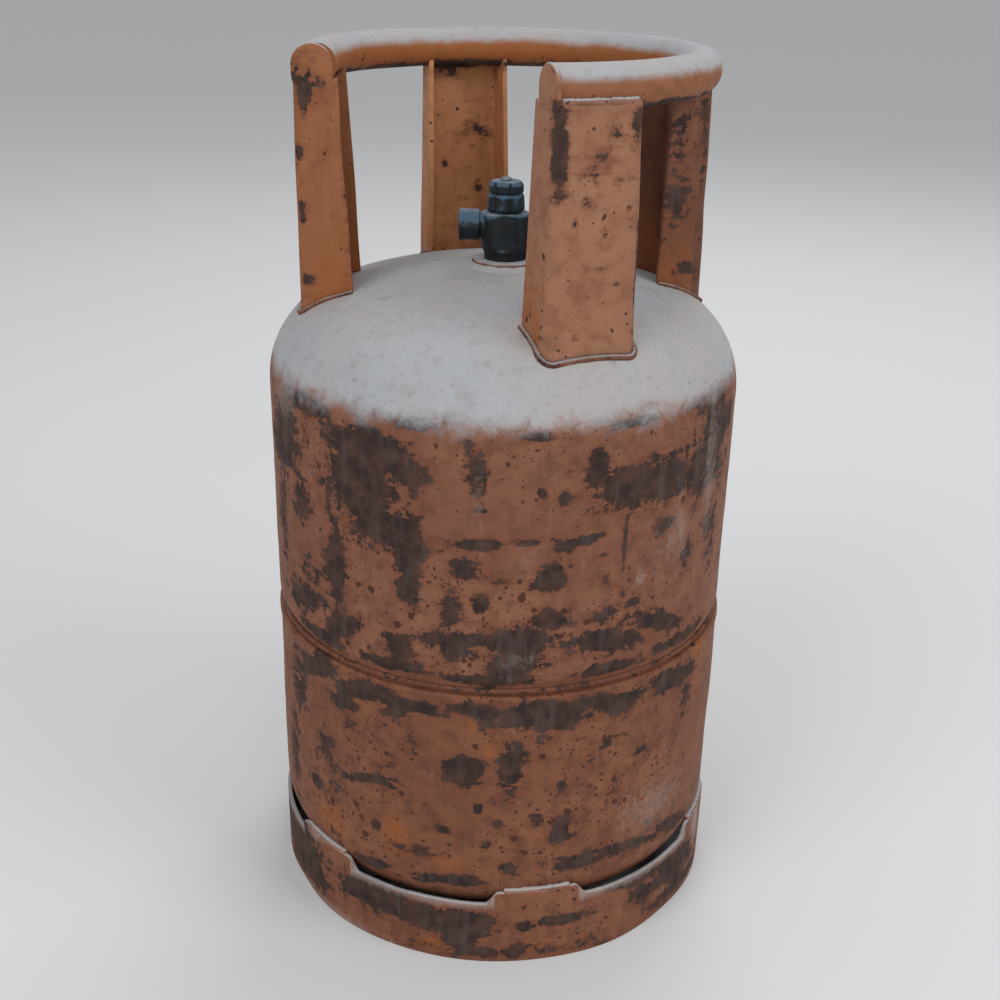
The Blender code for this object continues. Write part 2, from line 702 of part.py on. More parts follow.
def guard_ring_welds():
    """A bead along each post's top edge, under the tube's outer side."""
    out = POST_REACH + RING_BEAD / 2
    across = out - RING_RADIUS
    reach = GUARD_TUBE_RADIUS + RING_BEAD + GAP
    z = RING_Z - math.sqrt(reach ** 2 - across ** 2)
    half = post_half_width(RING_Z) - POST_BEND
    for name, azimuth in POST_AZIMUTHS.items():
        points = [out_from_axis(azimuth, out, half * (i / 3 - 1), z) for i in range(7)]
        bar("guard_ring_weld_" + name, points, RING_BEAD, RUSTY_PAINT)


# Valve

def valve_body():
    """The valve's forging: stem, bored barrel, outlet to the left, relief boss to the right."""
    neck_z = BUNG_TOP_Z + NECK_HEIGHT
    stem_z = BUNG_TOP_Z - STEM_LENGTH
    thread_bore = GLAND_THREAD_RADIUS + GAP
    outline = [(thread_bore, BODY_TOP_Z), (BODY_RADIUS - BODY_CHAMFER, BODY_TOP_Z),
               (BODY_RADIUS, BODY_TOP_Z - BODY_CHAMFER), (BODY_RADIUS, neck_z + BODY_CHAMFER),
               (STEM_RADIUS, neck_z), (STEM_RADIUS, stem_z + STEM_CHAMFER),
               (STEM_RADIUS - STEM_CHAMFER, stem_z), (INLET_BORE, stem_z),
               (INLET_BORE, FLOOR_Z - SEAT_BORE_DEPTH), (SEAT_BORE, FLOOR_Z - SEAT_BORE_DEPTH + GAP),
               (SEAT_BORE, SEAT_Z), (SEAT_BORE + SEAT_LIP, SEAT_Z), (SEAT_BORE + SEAT_LIP, FLOOR_Z),
               (CHAMBER_RADIUS, FLOOR_Z), (CHAMBER_RADIUS, GLAND_BOTTOM_Z - THREAD_RELIEF),
               (thread_bore, GLAND_BOTTOM_Z - THREAD_RELIEF + GAP)]
    body = turned("valve_body", outline, VALVE_STEPS, DARK_BRASS)
    start = (CHAMBER_RADIUS + BODY_RADIUS) / 2
    outlet = rod("outlet_spigot", OUTLET_RADIUS, start, OUTLET_LENGTH, VALVE_STEPS)
    lay_along_x(outlet, OUTLET_Z, False)
    boss = rod("relief_boss", RELIEF_BOSS_RADIUS, start, RELIEF_BOSS_LENGTH, VALVE_STEPS)
    lay_along_x(boss, RELIEF_Z, True)
    for item in (outlet, boss):
        combine(body, item, "UNION")
    bore = rod("outlet_bore", OUTLET_BORE, CHAMBER_RADIUS / 2, BIG, SMALL_STEPS)
    lay_along_x(bore, OUTLET_Z, False)
    passage = rod("relief_passage", RELIEF_PASSAGE, SEAT_BORE / 2, RELIEF_SEAT_X + MM, SMALL_STEPS)
    lay_along_x(passage, RELIEF_Z, True)
    chamber = rod("relief_chamber", RELIEF_CHAMBER_RADIUS, RELIEF_SEAT_X, BIG, VALVE_STEPS)
    lay_along_x(chamber, RELIEF_Z, True)
    for item in (bore, passage, chamber, flats_cutter(neck_z)):
        combine(body, item, "DIFFERENCE")
    return body


def flats_cutter(neck_z):
    """Two blocks that mill the spanner flats on the body's front and back."""
    blocks = []
    for side in (-1, 1):
        near = side * BODY_FLATS / 2
        far = side * BODY_RADIUS * 2
        low = (-BODY_RADIUS, min(near, far), neck_z - MM)
        high = (BODY_RADIUS, max(near, far), BODY_TOP_Z + MM)
        blocks.append(block("flat_%d" % side, low, high))
    return as_mesh(blocks, "flats_cutter")


def gland_nut():
    """The hexagon nut that closes the body and guides the spindle."""
    nut = rod("gland_nut", GLAND_THREAD_RADIUS, GLAND_BOTTOM_Z, GLAND_HEAD_Z + MM, VALVE_STEPS, BARE_BRASS)
    head = rod("gland_head", GLAND_HEX_RADIUS, GLAND_HEAD_Z, GLAND_TOP_Z, 6)
    hole = rod("gland_hole", GLAND_BORE, GLAND_BOTTOM_Z - MM, GLAND_TOP_Z + MM, VALVE_STEPS)
    combine(nut, head, "UNION")
    combine(nut, hole, "DIFFERENCE")
    return nut


def valve_spindle():
    """The spindle: screw end, collar, O-ring groove and a square for the handwheel."""
    groove_z = (GLAND_BOTTOM_Z + BODY_TOP_Z) / 2
    floor = SPINDLE_RADIUS - ORING_GROOVE
    half = ORING_GROOVE * 0.8
    outline = [(0.0, KNOB_HUB_Z), (SPINDLE_RADIUS, KNOB_HUB_Z), (SPINDLE_RADIUS, groove_z + half),
               (floor, groove_z + half), (floor, groove_z - half), (SPINDLE_RADIUS, groove_z - half),
               (SPINDLE_RADIUS, COLLAR_TOP_Z), (SPINDLE_COLLAR_RADIUS, COLLAR_TOP_Z),
               (SPINDLE_COLLAR_RADIUS, COLLAR_BOTTOM_Z), (SPINDLE_SCREW_RADIUS, COLLAR_BOTTOM_Z),
               (SPINDLE_SCREW_RADIUS, SPINDLE_TIP_Z), (0.0, SPINDLE_TIP_Z)]
    spindle = turned("valve_spindle", outline, VALVE_STEPS, BARE_BRASS, closed=False)
    square = rod("spindle_square", SPINDLE_SQUARE / math.sqrt(2), KNOB_HUB_Z - MM, SPINDLE_TOP_Z, 4,
                 turn=math.radians(45))
    hole = rod("spindle_hole", SCREW_RADIUS + GAP, KNOB_TOP_Z - SCREW_LENGTH - GAP, BIG, SMALL_STEPS)
    combine(spindle, square, "UNION")
    combine(spindle, hole, "DIFFERENCE")
    return spindle


def spindle_o_ring():
    """The rubber ring in the spindle's groove, which seals against the gland."""
    floor = SPINDLE_RADIUS - ORING_GROOVE
    slack = RUNNING / 2
    section = (GLAND_BORE - floor) / 2 - slack
    z = (GLAND_BOTTOM_Z + BODY_TOP_Z) / 2
    return turned_ring("spindle_o_ring", floor + slack + section, z, section, SMALL_STEPS, 6, RUBBER)


def valve_plug():
    """The plug that the spindle's screw lifts, with a recess for its seat disc."""
    bore = SPINDLE_SCREW_RADIUS + GAP
    recess = SEAT_DISC_RADIUS + GAP
    outline = [(bore, PLUG_TOP_Z), (PLUG_RADIUS, PLUG_TOP_Z), (PLUG_RADIUS, PLUG_Z), (recess, PLUG_Z),
               (recess, PLUG_RECESS_Z), (0.0, PLUG_RECESS_Z)]
    floor = [(0.0, PLUG_ROOF_Z), (bore, PLUG_ROOF_Z)]
    return turned("valve_plug", floor + outline, VALVE_STEPS, BARE_BRASS, closed=False)


def seat_disc():
    """The nylon disc that closes on the seat's lip."""
    return rod("seat_disc", SEAT_DISC_RADIUS, SEAT_DISC_Z, SEAT_DISC_Z + SEAT_DISC_HEIGHT, VALVE_STEPS, NYLON)


def handwheel():
    """The hollow knob: slightly tapered, with a groove round it and six flutes."""
    cavity = GLAND_HEX_RADIUS + 3 * GAP
    groove_z = KNOB_Z + KNOB_GROOVE_RISE
    top_radius = KNOB_RADIUS - KNOB_TAPER
    outline = [(0.0, KNOB_TOP_Z), (top_radius - KNOB_EDGE, KNOB_TOP_Z),
               (top_radius - KNOB_EDGE / 3, KNOB_TOP_Z - KNOB_EDGE / 3),
               (top_radius, KNOB_TOP_Z - KNOB_EDGE), (top_radius, groove_z + KNOB_GROOVE),
               (top_radius - KNOB_GROOVE, groove_z), (KNOB_RADIUS - KNOB_TAPER / 2, groove_z - KNOB_GROOVE),
               (KNOB_RADIUS, KNOB_Z + KNOB_GROOVE), (KNOB_RADIUS - KNOB_GROOVE, KNOB_Z),
               (cavity, KNOB_Z), (cavity, KNOB_HUB_Z), (0.0, KNOB_HUB_Z)]
    knob = turned("handwheel", outline, VALVE_STEPS, DARK_PLASTIC, closed=False)
    flutes = []
    for index in range(KNOB_FLUTES):
        azimuth = KNOB_FLUTE_AZIMUTH + index * 360.0 / KNOB_FLUTES
        flute = rod("flute_%d" % index, KNOB_FLUTE_RADIUS, KNOB_Z - MM, KNOB_TOP_Z + MM, FLUTE_STEPS)
        flute.location = out_from_axis(azimuth, KNOB_RADIUS + KNOB_FLUTE_RADIUS / 3, 0.0, 0.0)
        flutes.append(flute)
    combine(knob, as_mesh(flutes, "flutes"), "DIFFERENCE")
    hole_radius = (SPINDLE_SQUARE + 2 * GAP) / math.sqrt(2)
    hole = rod("knob_hole", hole_radius, KNOB_HUB_Z - MM, BIG, 4, turn=math.radians(45))
    combine(knob, hole, "DIFFERENCE")
    return knob


def handwheel_screw():
    """The slotted screw that holds the handwheel down."""
    head_z = KNOB_TOP_Z + GAP
    top = head_z + SCREW_HEAD_HEIGHT
    tip_z = KNOB_TOP_Z - SCREW_LENGTH
    outline = [(0.0, top), (SCREW_HEAD_RADIUS * 0.6, top - GAP),
               (SCREW_HEAD_RADIUS, top - SCREW_HEAD_HEIGHT / 2), (SCREW_HEAD_RADIUS, head_z),
               (SCREW_RADIUS, head_z), (SCREW_RADIUS, tip_z), (0.0, tip_z)]
    screw = turned("handwheel_screw", outline, SMALL_STEPS, BARE_STEEL, closed=False)
    half = SCREW_SLOT / 2
    slot = block("screw_slot", (-KNOB_RADIUS, -half, top - SCREW_SLOT), (KNOB_RADIUS, half, top + MM))
    combine(screw, slot, "DIFFERENCE")
    return screw


def outlet_cap():
    """The cap nut on the outlet: a cup with a raised rim round its closed end."""
    end = CAP_INNER_X + CAP_END
    rim = CAP_RADIUS + CAP_RIM
    outline = [(0.0, end), (rim - CAP_EDGE, end), (rim, end - CAP_EDGE), (rim, end - CAP_RIM_WIDTH),
               (CAP_RADIUS, end - CAP_RIM_WIDTH - CAP_RIM), (CAP_RADIUS, CAP_START), (CAP_BORE, CAP_START),
               (CAP_BORE, CAP_INNER_X), (0.0, CAP_INNER_X)]
    cap = turned("outlet_cap", outline, VALVE_STEPS, DARK_PLASTIC, closed=False)
    lay_along_x(cap, OUTLET_Z, False)
    return cap


def outlet_cap_washer():
    """The rubber washer that the cap presses on the outlet's end."""
    radius = OUTLET_RADIUS - GAP
    outline = [(OUTLET_BORE, WASHER_X + WASHER_THICKNESS), (radius, WASHER_X + WASHER_THICKNESS),
               (radius, WASHER_X), (OUTLET_BORE, WASHER_X)]
    washer = turned("outlet_cap_washer", outline, SMALL_STEPS, RUBBER)
    lay_along_x(washer, OUTLET_Z, False)
    return washer


def relief_disc():
    """The disc with a rubber face that the spring holds on the relief seat."""
    disc = rod("relief_disc", RELIEF_CHAMBER_RADIUS - GAP, RELIEF_DISC_X, RELIEF_DISC_X + RELIEF_DISC_HEIGHT,
               VALVE_STEPS, RUBBER)
    lay_along_x(disc, RELIEF_Z, True)
    return disc


def relief_spring():
    """The coil spring between the disc and the relief cap."""
    low = SPRING_X + SPRING_WIRE
    high = RELIEF_CAP_X - GAP - SPRING_WIRE
    count = SPRING_TURNS * COIL_STEPS
    points = []
    for i in range(count + 1):
        angle = 2 * math.pi * SPRING_TURNS * i / count
        height = low + (high - low) * i / count
        points.append((height, SPRING_RADIUS * math.cos(angle), RELIEF_Z + SPRING_RADIUS * math.sin(angle)))
    return as_mesh([bar("spring_line", points, SPRING_WIRE)], "relief_spring", BARE_STEEL)


def relief_cap():
    """The drilled hexagon plug that holds the relief spring."""
    radius = RELIEF_CHAMBER_RADIUS - GAP
    head_x = RELIEF_BOSS_LENGTH + GAP
    cap = rod("relief_cap", radius, RELIEF_CAP_X, head_x + MM, VALVE_STEPS, BARE_BRASS)
    head = rod("relief_head", RELIEF_CAP_HEX, head_x, head_x + RELIEF_CAP_HEIGHT, 6)
    vent = rod("relief_vent", RELIEF_VENT, RELIEF_CAP_X - MM, head_x + RELIEF_CAP_HEIGHT + MM, VALVE_STEPS)
    combine(cap, head, "UNION")
    combine(cap, vent, "DIFFERENCE")
    for item in (cap, head, vent):
        lay_along_x(item, RELIEF_Z, True)
    return cap


def build():
    """Make every sub-part."""
    upper_shell()
    lower_shell()
    girth_weld()
    valve_bung()
    bung_weld()
    foot_ring()
    foot_ring_welds()
    tank, ring = tank_cutter(), ring_cutter()
    for place_name in POST_AZIMUTHS:
        guard_post(place_name, tank, ring)
    post_foot_welds()
    guard_ring()
    guard_ring_welds()
    valve_body()
    gland_nut()
    valve_spindle()
    spindle_o_ring()
    valve_plug()
    seat_disc()
    handwheel()
    handwheel_screw()
    outlet_cap()
    outlet_cap_washer()
    relief_disc()
    relief_spring()
    relief_cap()


build()
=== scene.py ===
# %% [markdown]
# A rusty gas cylinder, dressed in Blender.
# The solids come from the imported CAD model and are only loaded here. This lesson gives them
# their skin: finer surfaces worked out with numpy, and paint, rust and dust made from nodes.
# Everything is in metres with Z up, and the front looks along -Y.

# %% Load the frame
import json
import math

import bmesh
import bpy
import numpy as np
from mathutils import Matrix, Vector

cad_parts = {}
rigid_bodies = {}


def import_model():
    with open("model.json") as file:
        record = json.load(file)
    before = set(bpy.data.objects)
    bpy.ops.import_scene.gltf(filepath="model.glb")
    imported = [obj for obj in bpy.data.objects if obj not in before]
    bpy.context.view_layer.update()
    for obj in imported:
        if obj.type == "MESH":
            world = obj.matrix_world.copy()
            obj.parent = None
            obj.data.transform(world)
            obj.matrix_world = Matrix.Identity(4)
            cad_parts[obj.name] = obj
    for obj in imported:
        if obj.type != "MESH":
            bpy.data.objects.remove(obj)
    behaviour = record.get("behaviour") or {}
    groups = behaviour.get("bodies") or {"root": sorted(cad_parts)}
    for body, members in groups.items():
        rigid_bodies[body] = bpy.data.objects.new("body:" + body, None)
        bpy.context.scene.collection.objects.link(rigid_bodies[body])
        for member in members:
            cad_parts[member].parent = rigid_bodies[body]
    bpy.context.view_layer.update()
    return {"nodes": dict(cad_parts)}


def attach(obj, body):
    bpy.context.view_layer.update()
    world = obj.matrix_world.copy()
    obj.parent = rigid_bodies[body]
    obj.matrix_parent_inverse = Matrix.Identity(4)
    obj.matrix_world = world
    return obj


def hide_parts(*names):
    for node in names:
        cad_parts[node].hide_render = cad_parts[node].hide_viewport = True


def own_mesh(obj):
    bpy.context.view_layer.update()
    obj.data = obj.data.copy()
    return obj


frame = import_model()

MM = 0.001

# %% [markdown]
# The camera comes first, so that every later render can be laid over the photograph.
# Its place was solved from the cylinder's outlines: it looks down by 23 degrees from a
# little under a metre away, and is rolled by about one degree.

# %% Camera
CAMERA_PLACE = Vector((0.0, -0.8935, 0.6579))
PITCH, YAW, ROLL = (math.radians(v) for v in (23.2057, -0.0101, 1.109))
LENS, SENSOR = 49.29, 36.0


def into_scene(name, data):
    """A new object in the scene that shows this mesh, lamp or camera."""
    item = bpy.data.objects.new(name, data)
    bpy.context.scene.collection.objects.link(item)
    return item


# Forward is tipped down by the pitch; right and up are rolled about it
forward = Vector((math.sin(YAW) * math.cos(PITCH), math.cos(YAW) * math.cos(PITCH), -math.sin(PITCH)))
level = forward.cross(Vector((0, 0, 1))).normalized()
rise = level.cross(forward)
right = level * math.cos(ROLL) + rise * math.sin(ROLL)
up = rise * math.cos(ROLL) - level * math.sin(ROLL)
turn = np.eye(4)
turn[:3, :4] = np.array([right, up, -forward, CAMERA_PLACE]).T

camera_data = bpy.data.cameras.new("camera")
camera_data.lens, camera_data.sensor_width = LENS, SENSOR
camera = into_scene("camera", camera_data)
camera.matrix_world = Matrix(turn.tolist())
bpy.context.scene.camera = camera
print("camera at", tuple(CAMERA_PLACE))

# %% [markdown]
# Three small helpers serve all the materials. One turns a web colour into the linear numbers
# that shaders work with. The next adds a node, sets it and links it, and gives back the
# socket that the next node reads. The last starts a new finish.

# %% Node helpers
MODES = {"Math": "operation", "Mix": "data_type", "MapRange": "interpolation_type",
         "Attribute": "attribute_name"}


def tone(code):
    """Linear RGBA of an sRGB hex colour: each channel is divided by 255 and taken through the sRGB curve."""
    values = [int(code[i:i + 2], 16) / 255 for i in (1, 3, 5)]
    linear = [v / 12.92 if v <= 0.04045 else ((v + 0.055) / 1.055) ** 2.4 for v in values]
    return (*linear, 1.0)


def add(tree, kind, settings=None, links=None, out=0):
    """Add a node. A word after a colon in kind is its mode. Settings are values of its sockets, links feed
    its sockets, and out picks the socket that is returned."""
    kind, _, mode = kind.partition(":")
    item = tree.nodes.new("ShaderNode" + kind)
    if mode:
        setattr(item, MODES[kind], mode)
    for key, value in (settings or {}).items():
        item.inputs[key].default_value = value
    for key, source in (links or {}).items():
        tree.links.new(source, item.inputs[key])
    return item.outputs[out]


def blank_finish(name, values):
    """A new material, its node tree and its shader, which gets these constants."""
    finish = bpy.data.materials.new(name)
    finish.use_nodes = True
    shader = finish.node_tree.nodes["Principled BSDF"]
    for key, value in values.items():
        shader.inputs[key].default_value = value
    return finish, finish.node_tree, shader

# %% [markdown]
# The studio is plain: a wide pale floor, one large soft lamp to the left, and weaker ones to
# the right, in front and behind. The world adds even light all round. Seen by the camera, or in a
# reflection, the world is plain pale.

# %% Studio
LAMPS = {"left": ((-1.5, -1.9, 2.3), 0.3, 1.6, 28), "right": ((1.9, -1.1, 2.0), 0.3, 1.4, 21),
         "front": ((0.3, -2.4, 1.1), 0.4, 1.2, 9), "behind": ((0.5, 1.8, 2.2), 0.4, 1.4, 20)}
WORLD_LIGHT, WORLD_SEEN = 0.55, 0.95
FLOOR_REACH = 40.0

# A square lamp's place, the height on the axis that it faces, its size and its watts
for name, (place, aim, size, watts) in LAMPS.items():
    data = bpy.data.lights.new("lamp_" + name, "AREA")
    data.size, data.energy = size, watts
    lamp = into_scene("lamp_" + name, data)
    lamp.location = place
    lamp.rotation_euler = (Vector((0, 0, aim)) - Vector(place)).to_track_quat("-Z", "Y").to_euler()

world = bpy.data.worlds.new("studio_world")
bpy.context.scene.world = world
world.use_nodes = True
sky = world.node_tree
sky.nodes.clear()
path = sky.nodes.new("ShaderNodeLightPath").outputs
seen = add(sky, "Math:MAXIMUM", {}, {0: path["Is Camera Ray"], 1: path["Is Glossy Ray"]})
seen = add(sky, "Math:MAXIMUM", {}, {0: seen, 1: path["Is Transmission Ray"]})
strength = add(sky, "Mix", {2: WORLD_LIGHT, 3: WORLD_SEEN}, {0: seen})
backdrop = add(sky, "Background", {"Color": (0.86, 0.87, 0.88, 1.0)}, {"Strength": strength})
sky.links.new(backdrop, sky.nodes.new("ShaderNodeOutputWorld").inputs["Surface"])
bpy.context.scene.view_settings.view_transform = "Standard"

floor_mesh = bpy.data.meshes.new("floor")
corners = [(x * FLOOR_REACH, y * FLOOR_REACH, 0) for x, y in ((-1, -1), (1, -1), (1, 1), (-1, 1))]
floor_mesh.from_pydata(corners, [], [(0, 1, 2, 3)])
floor = into_scene("floor", floor_mesh)
# Matt board: an even pale ground that shows soft shadows and no reflection
board, _, _ = blank_finish("matt_studio_floor", {"Base Color": tone("#d9dadb"), "Roughness": 0.9})
floor_mesh.materials.append(board)
print("lamps", len(LAMPS))

# %% [markdown]
# Every new surface is a grid of points, worked out as whole arrays. These helpers turn a grid
# into a mesh, measure along an outline, and sweep an outline round the axis or along a path.
# An azimuth is counted from the front (-Y) towards +X.

# %% Surface helpers
SHARP_ANGLE = math.radians(38)
WAVES = 12


def make_piece(name, points, wrap=(True, False), body="cylinder", *, node, slot):
    """A mesh from a grid of points (rows, columns, xyz): four neighbours make a face, and a wrapped direction
    closes. Points that meet are merged, and the faces are turned outwards by the sign of the volume."""
    rows, columns = points.shape[:2]
    i = np.arange(rows if wrap[0] else rows - 1)[:, None]
    j = np.arange(columns if wrap[1] else columns - 1)[None, :]
    here = i * columns + j
    beside = i * columns + (j + 1) % columns
    above = ((i + 1) % rows) * columns + j
    across = ((i + 1) % rows) * columns + (j + 1) % columns
    faces = np.stack([here, beside, across, above], axis=-1).reshape(-1, 4)
    flat = points.reshape(-1, 3)
    a, b, c, d = (flat[faces[:, k]] for k in range(4))
    volume = np.einsum("ij,ij->i", a, np.cross(b, c)) + np.einsum("ij,ij->i", a, np.cross(c, d))
    if volume.sum() < 0:
        faces = faces[:, ::-1]
    mesh = bpy.data.meshes.new(name)
    mesh.from_pydata(flat, [], faces)
    shape = bmesh.new()
    shape.from_mesh(mesh)
    bmesh.ops.remove_doubles(shape, verts=shape.verts, dist=0.000002)
    bmesh.ops.dissolve_degenerate(shape, edges=shape.edges, dist=0.000001)
    shape.to_mesh(mesh)
    shape.free()
    mesh.shade_smooth()
    mesh.set_sharp_from_angle(angle=SHARP_ANGLE)
    piece = into_scene(name, mesh)
    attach(piece, body)
    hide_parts(node)
    print(name, len(mesh.vertices), "points")
    return piece


def spaced(outline, step):
    """The same outline with points one step apart: each coordinate is read at equal shares of the length."""
    outline = np.asarray(outline, float)
    length = np.concatenate([[0], np.cumsum(np.linalg.norm(np.diff(outline, axis=0), axis=1))])
    count = max(2, int(math.ceil(length[-1] / step)) + 1)
    at = np.linspace(0, length[-1], count)
    return np.stack([np.interp(at, length, outline[:, k]) for k in range(outline.shape[1])], axis=1)


def steps_from(radius, height, *steps):
    """An outline in millimetres, counted from a radius and a height that are in metres."""
    return np.array(steps, float) * MM + [radius, height]


def arc(centre, radius, start, end, count):
    """Points on a circle's arc in the (radius, height) plane: centre plus radius times cosine and sine."""
    angle = np.linspace(start, end, count)
    return np.stack([centre[0] + radius * np.cos(angle), centre[1] + radius * np.sin(angle)], axis=1)


def along_x(points, height, sign):
    """Lay a shape made round Z onto an axis along X: its Z becomes X times sign, at this height."""
    return np.stack([sign * points[..., 2], points[..., 1], height - sign * points[..., 0]], axis=-1)


def place_at(azimuth, reach, aside, height):
    """A point: reach away from the axis at an azimuth, then aside towards higher azimuths. Takes arrays."""
    azimuth = np.radians(azimuth)
    x = reach * np.sin(azimuth) + aside * np.cos(azimuth)
    y = -reach * np.cos(azimuth) + aside * np.sin(azimuth)
    return np.stack(np.broadcast_arrays(x, y, height), axis=-1)


def round_axis(outline, azimuths):
    """Sweep a (radius, height) outline round Z."""
    return place_at(np.asarray(azimuths)[:, None], outline[:, 0], 0.0, outline[:, 1])


def azimuth_of(points):
    """Azimuth in degrees of each point, from -180 to 180."""
    return np.degrees(np.arctan2(points[..., 0], -points[..., 1]))


def turned_by(azimuth, middle):
    """Difference between azimuths, in degrees, taken the short way round."""
    return (azimuth - middle + 180) % 360 - 180


def push(points, amount):
    """Move points away from the Z axis by these amounts."""
    radius = np.maximum(np.hypot(points[..., 0], points[..., 1]), 1e-6)
    moved = points.copy()
    moved[..., 0] *= 1 + amount / radius
    moved[..., 1] *= 1 + amount / radius
    return moved


def ripple(points, seed, size, depth):
    """A smooth bumpy field: the sum of plane waves in seeded directions, whose wavelengths lie near size,
    times depth and over the square root of half their number."""
    rng = np.random.default_rng(seed)
    direction = rng.normal(size=(WAVES, 3))
    direction /= np.linalg.norm(direction, axis=1)[:, None]
    number = 2 * np.pi / (size * rng.uniform(0.7, 1.6, WAVES))
    waves = np.sin(points @ (direction * number[:, None]).T + rng.uniform(0, 2 * np.pi, WAVES))
    return waves.sum(axis=-1) * depth / math.sqrt(WAVES / 2)


# %% [markdown]
# The tank is pressed from sheet in two halves. A press leaves a crowned head: a wide shallow
# arc in the middle and a tighter one, the knuckle, round it. The outline below follows that
# rule with the CAD model's sizes, and sweeping it round the axis gives each half its skin.
# Years of knocks left shallow dents, so every point is pushed in or out a little.

# %% Tank sizes
TANK_RADIUS = 157.0 * MM
WALL = 2.9 * MM
SEAM_Z = 207.6 * MM
SEAM_TOP_Z = 214.8 * MM
# A head: height where the side wall ends, knuckle and crown radius, and which way it points
UPPER_HEAD = (370.0 * MM, 61.0 * MM, 382.0 * MM, 1)
LOWER_HEAD = (70.5 * MM, 42.0 * MM, 450.0 * MM, -1)
BUNG_RADIUS = 21.0 * MM
CALM_RADIUS, CALM_FADE = 90 * MM, 50 * MM


def head_centres(tangent_z, knuckle, crown, up):
    """Centres of the knuckle and crown arcs, and the angle at which the arcs meet."""
    knuckle_r = TANK_RADIUS - knuckle
    drop = math.sqrt((crown - knuckle) ** 2 - knuckle_r ** 2)
    return (knuckle_r, tangent_z), (0.0, tangent_z - up * drop), math.atan2(drop, knuckle_r)


def head_outline(head, inset, start):
    """(radius, height) points of a head's skin, from a start radius out to the side wall."""
    _, knuckle, crown, up = head
    knuckle_at, crown_at, meet = head_centres(*head)
    first = math.acos(start / (crown - inset))
    crown_part = arc(crown_at, crown - inset, up * first, up * meet, 60)
    return np.concatenate([crown_part, arc(knuckle_at, knuckle - inset, up * meet, 0.0, 50)[1:]])


def dome_height(radius, offset=0.0):
    """Height of the top head's skin, moved out by offset, at these radii."""
    _, knuckle, crown, _ = UPPER_HEAD
    (knuckle_r, knuckle_z), (_, crown_z), meet = head_centres(*UPPER_HEAD)
    on_crown = crown_z + np.sqrt(np.maximum((crown + offset) ** 2 - radius ** 2, 0))
    on_knuckle = knuckle_z + np.sqrt(np.maximum((knuckle + offset) ** 2 - (radius - knuckle_r) ** 2, 0))
    return np.where(radius <= (crown + offset) * math.cos(meet), on_crown, on_knuckle)


DOME_TOP_Z = float(dome_height(0.0))

# Dents: azimuth, height, width and depth, in degrees and millimetres
DENTS = [(-38, 300, 26, 1.1), (47, 268, 22, 0.9), (8, 140, 30, 0.8), (132, 240, 34, 1.6),
         (-122, 330, 28, 1.3), (168, 120, 36, 1.4), (-160, 285, 20, 0.9), (72, 110, 24, 0.8)]


def worn_tank(points):
    """Dents and waves on the tank: each dent is a bell-shaped dip, and slow waves run over everything but the
    heads' middles, where the bung has to fit."""
    azimuth, height = azimuth_of(points), points[..., 2]
    amount = ripple(points, 3, 120 * MM, 0.25 * MM) + ripple(points, 4, 28 * MM, 0.06 * MM)
    for middle, level, width, depth in DENTS:
        away = np.hypot(np.radians(turned_by(azimuth, middle)) * TANK_RADIUS, height - level * MM)
        amount = amount - depth * MM * np.exp(-(away / (width * MM)) ** 2)
    near_wall = np.clip((np.hypot(points[..., 0], points[..., 1]) - CALM_RADIUS) / CALM_FADE, 0, 1)
    return push(points, amount * near_wall)


print("top of the dome at", round(DOME_TOP_Z, 4))


# %% [markdown]
# The upper half's rim is turned in and slides into the lower half, whose lip is rolled out a
# little over it. That leaves the groove that the girth weld fills. Each outline goes out along
# the outside and comes back along the inside, so the skin has the sheet's real thickness.

# %% The two halves
AROUND_TANK = np.linspace(0, 360, 420, endpoint=False)
FINE, COARSE = 2.3 * MM, 11 * MM
BORE = BUNG_RADIUS + 0.3 * MM


def tank_half(name, node, outer, inner, wrap):
    """Sweep a closed section round the axis: fine steps outside, where it is seen, and coarse ones inside."""
    section = np.concatenate([spaced(outer, FINE), spaced(inner, COARSE)[::-1]])
    return make_piece(name, worn_tank(round_axis(section, AROUND_TANK)), wrap, node=node, slot="tank_paint")


rolled_in = steps_from(TANK_RADIUS, SEAM_TOP_Z, (0, 7), (-0.5, 3.6), (-1.6, 1.4), (-3.2, 0.4))
rolled_inside = steps_from(TANK_RADIUS, SEAM_TOP_Z, (-2.9, 3.2), (-6.1, 0))
outer_end, inner_end = (steps_from(TANK_RADIUS, SEAM_Z, (depth, -12)) for depth in (-3.2, -6.1))
outer = np.concatenate([head_outline(UPPER_HEAD, 0.0, BORE), rolled_in, outer_end])
inner = np.concatenate([head_outline(UPPER_HEAD, WALL, BORE), rolled_inside, inner_end])
upper_skin = tank_half("upper_half", "upper_shell", outer, inner, (True, True))

lip = steps_from(TANK_RADIUS, SEAM_Z, (0, -11), (0.7, -6), (1.1, -2.6), (0.5, -0.6), (-1, 0), (-2.9, 0))
outer = np.concatenate([head_outline(LOWER_HEAD, 0.0, 0.0), lip])
inner = np.concatenate([head_outline(LOWER_HEAD, WALL, 0.0), lip[-1:]])
lower_skin = tank_half("lower_half", "lower_shell", outer, inner, (True, False))

# %% [markdown]
# A weld bead is metal that froze in small ripples behind the arc. It is made as a round
# section carried along the joint, whose radius swells once per ripple. The ripples lag
# towards the bead's sides, which gives the chevrons of a real bead. The bung's fillet is too
# wide and low for that, and is a mound swept round the axis.

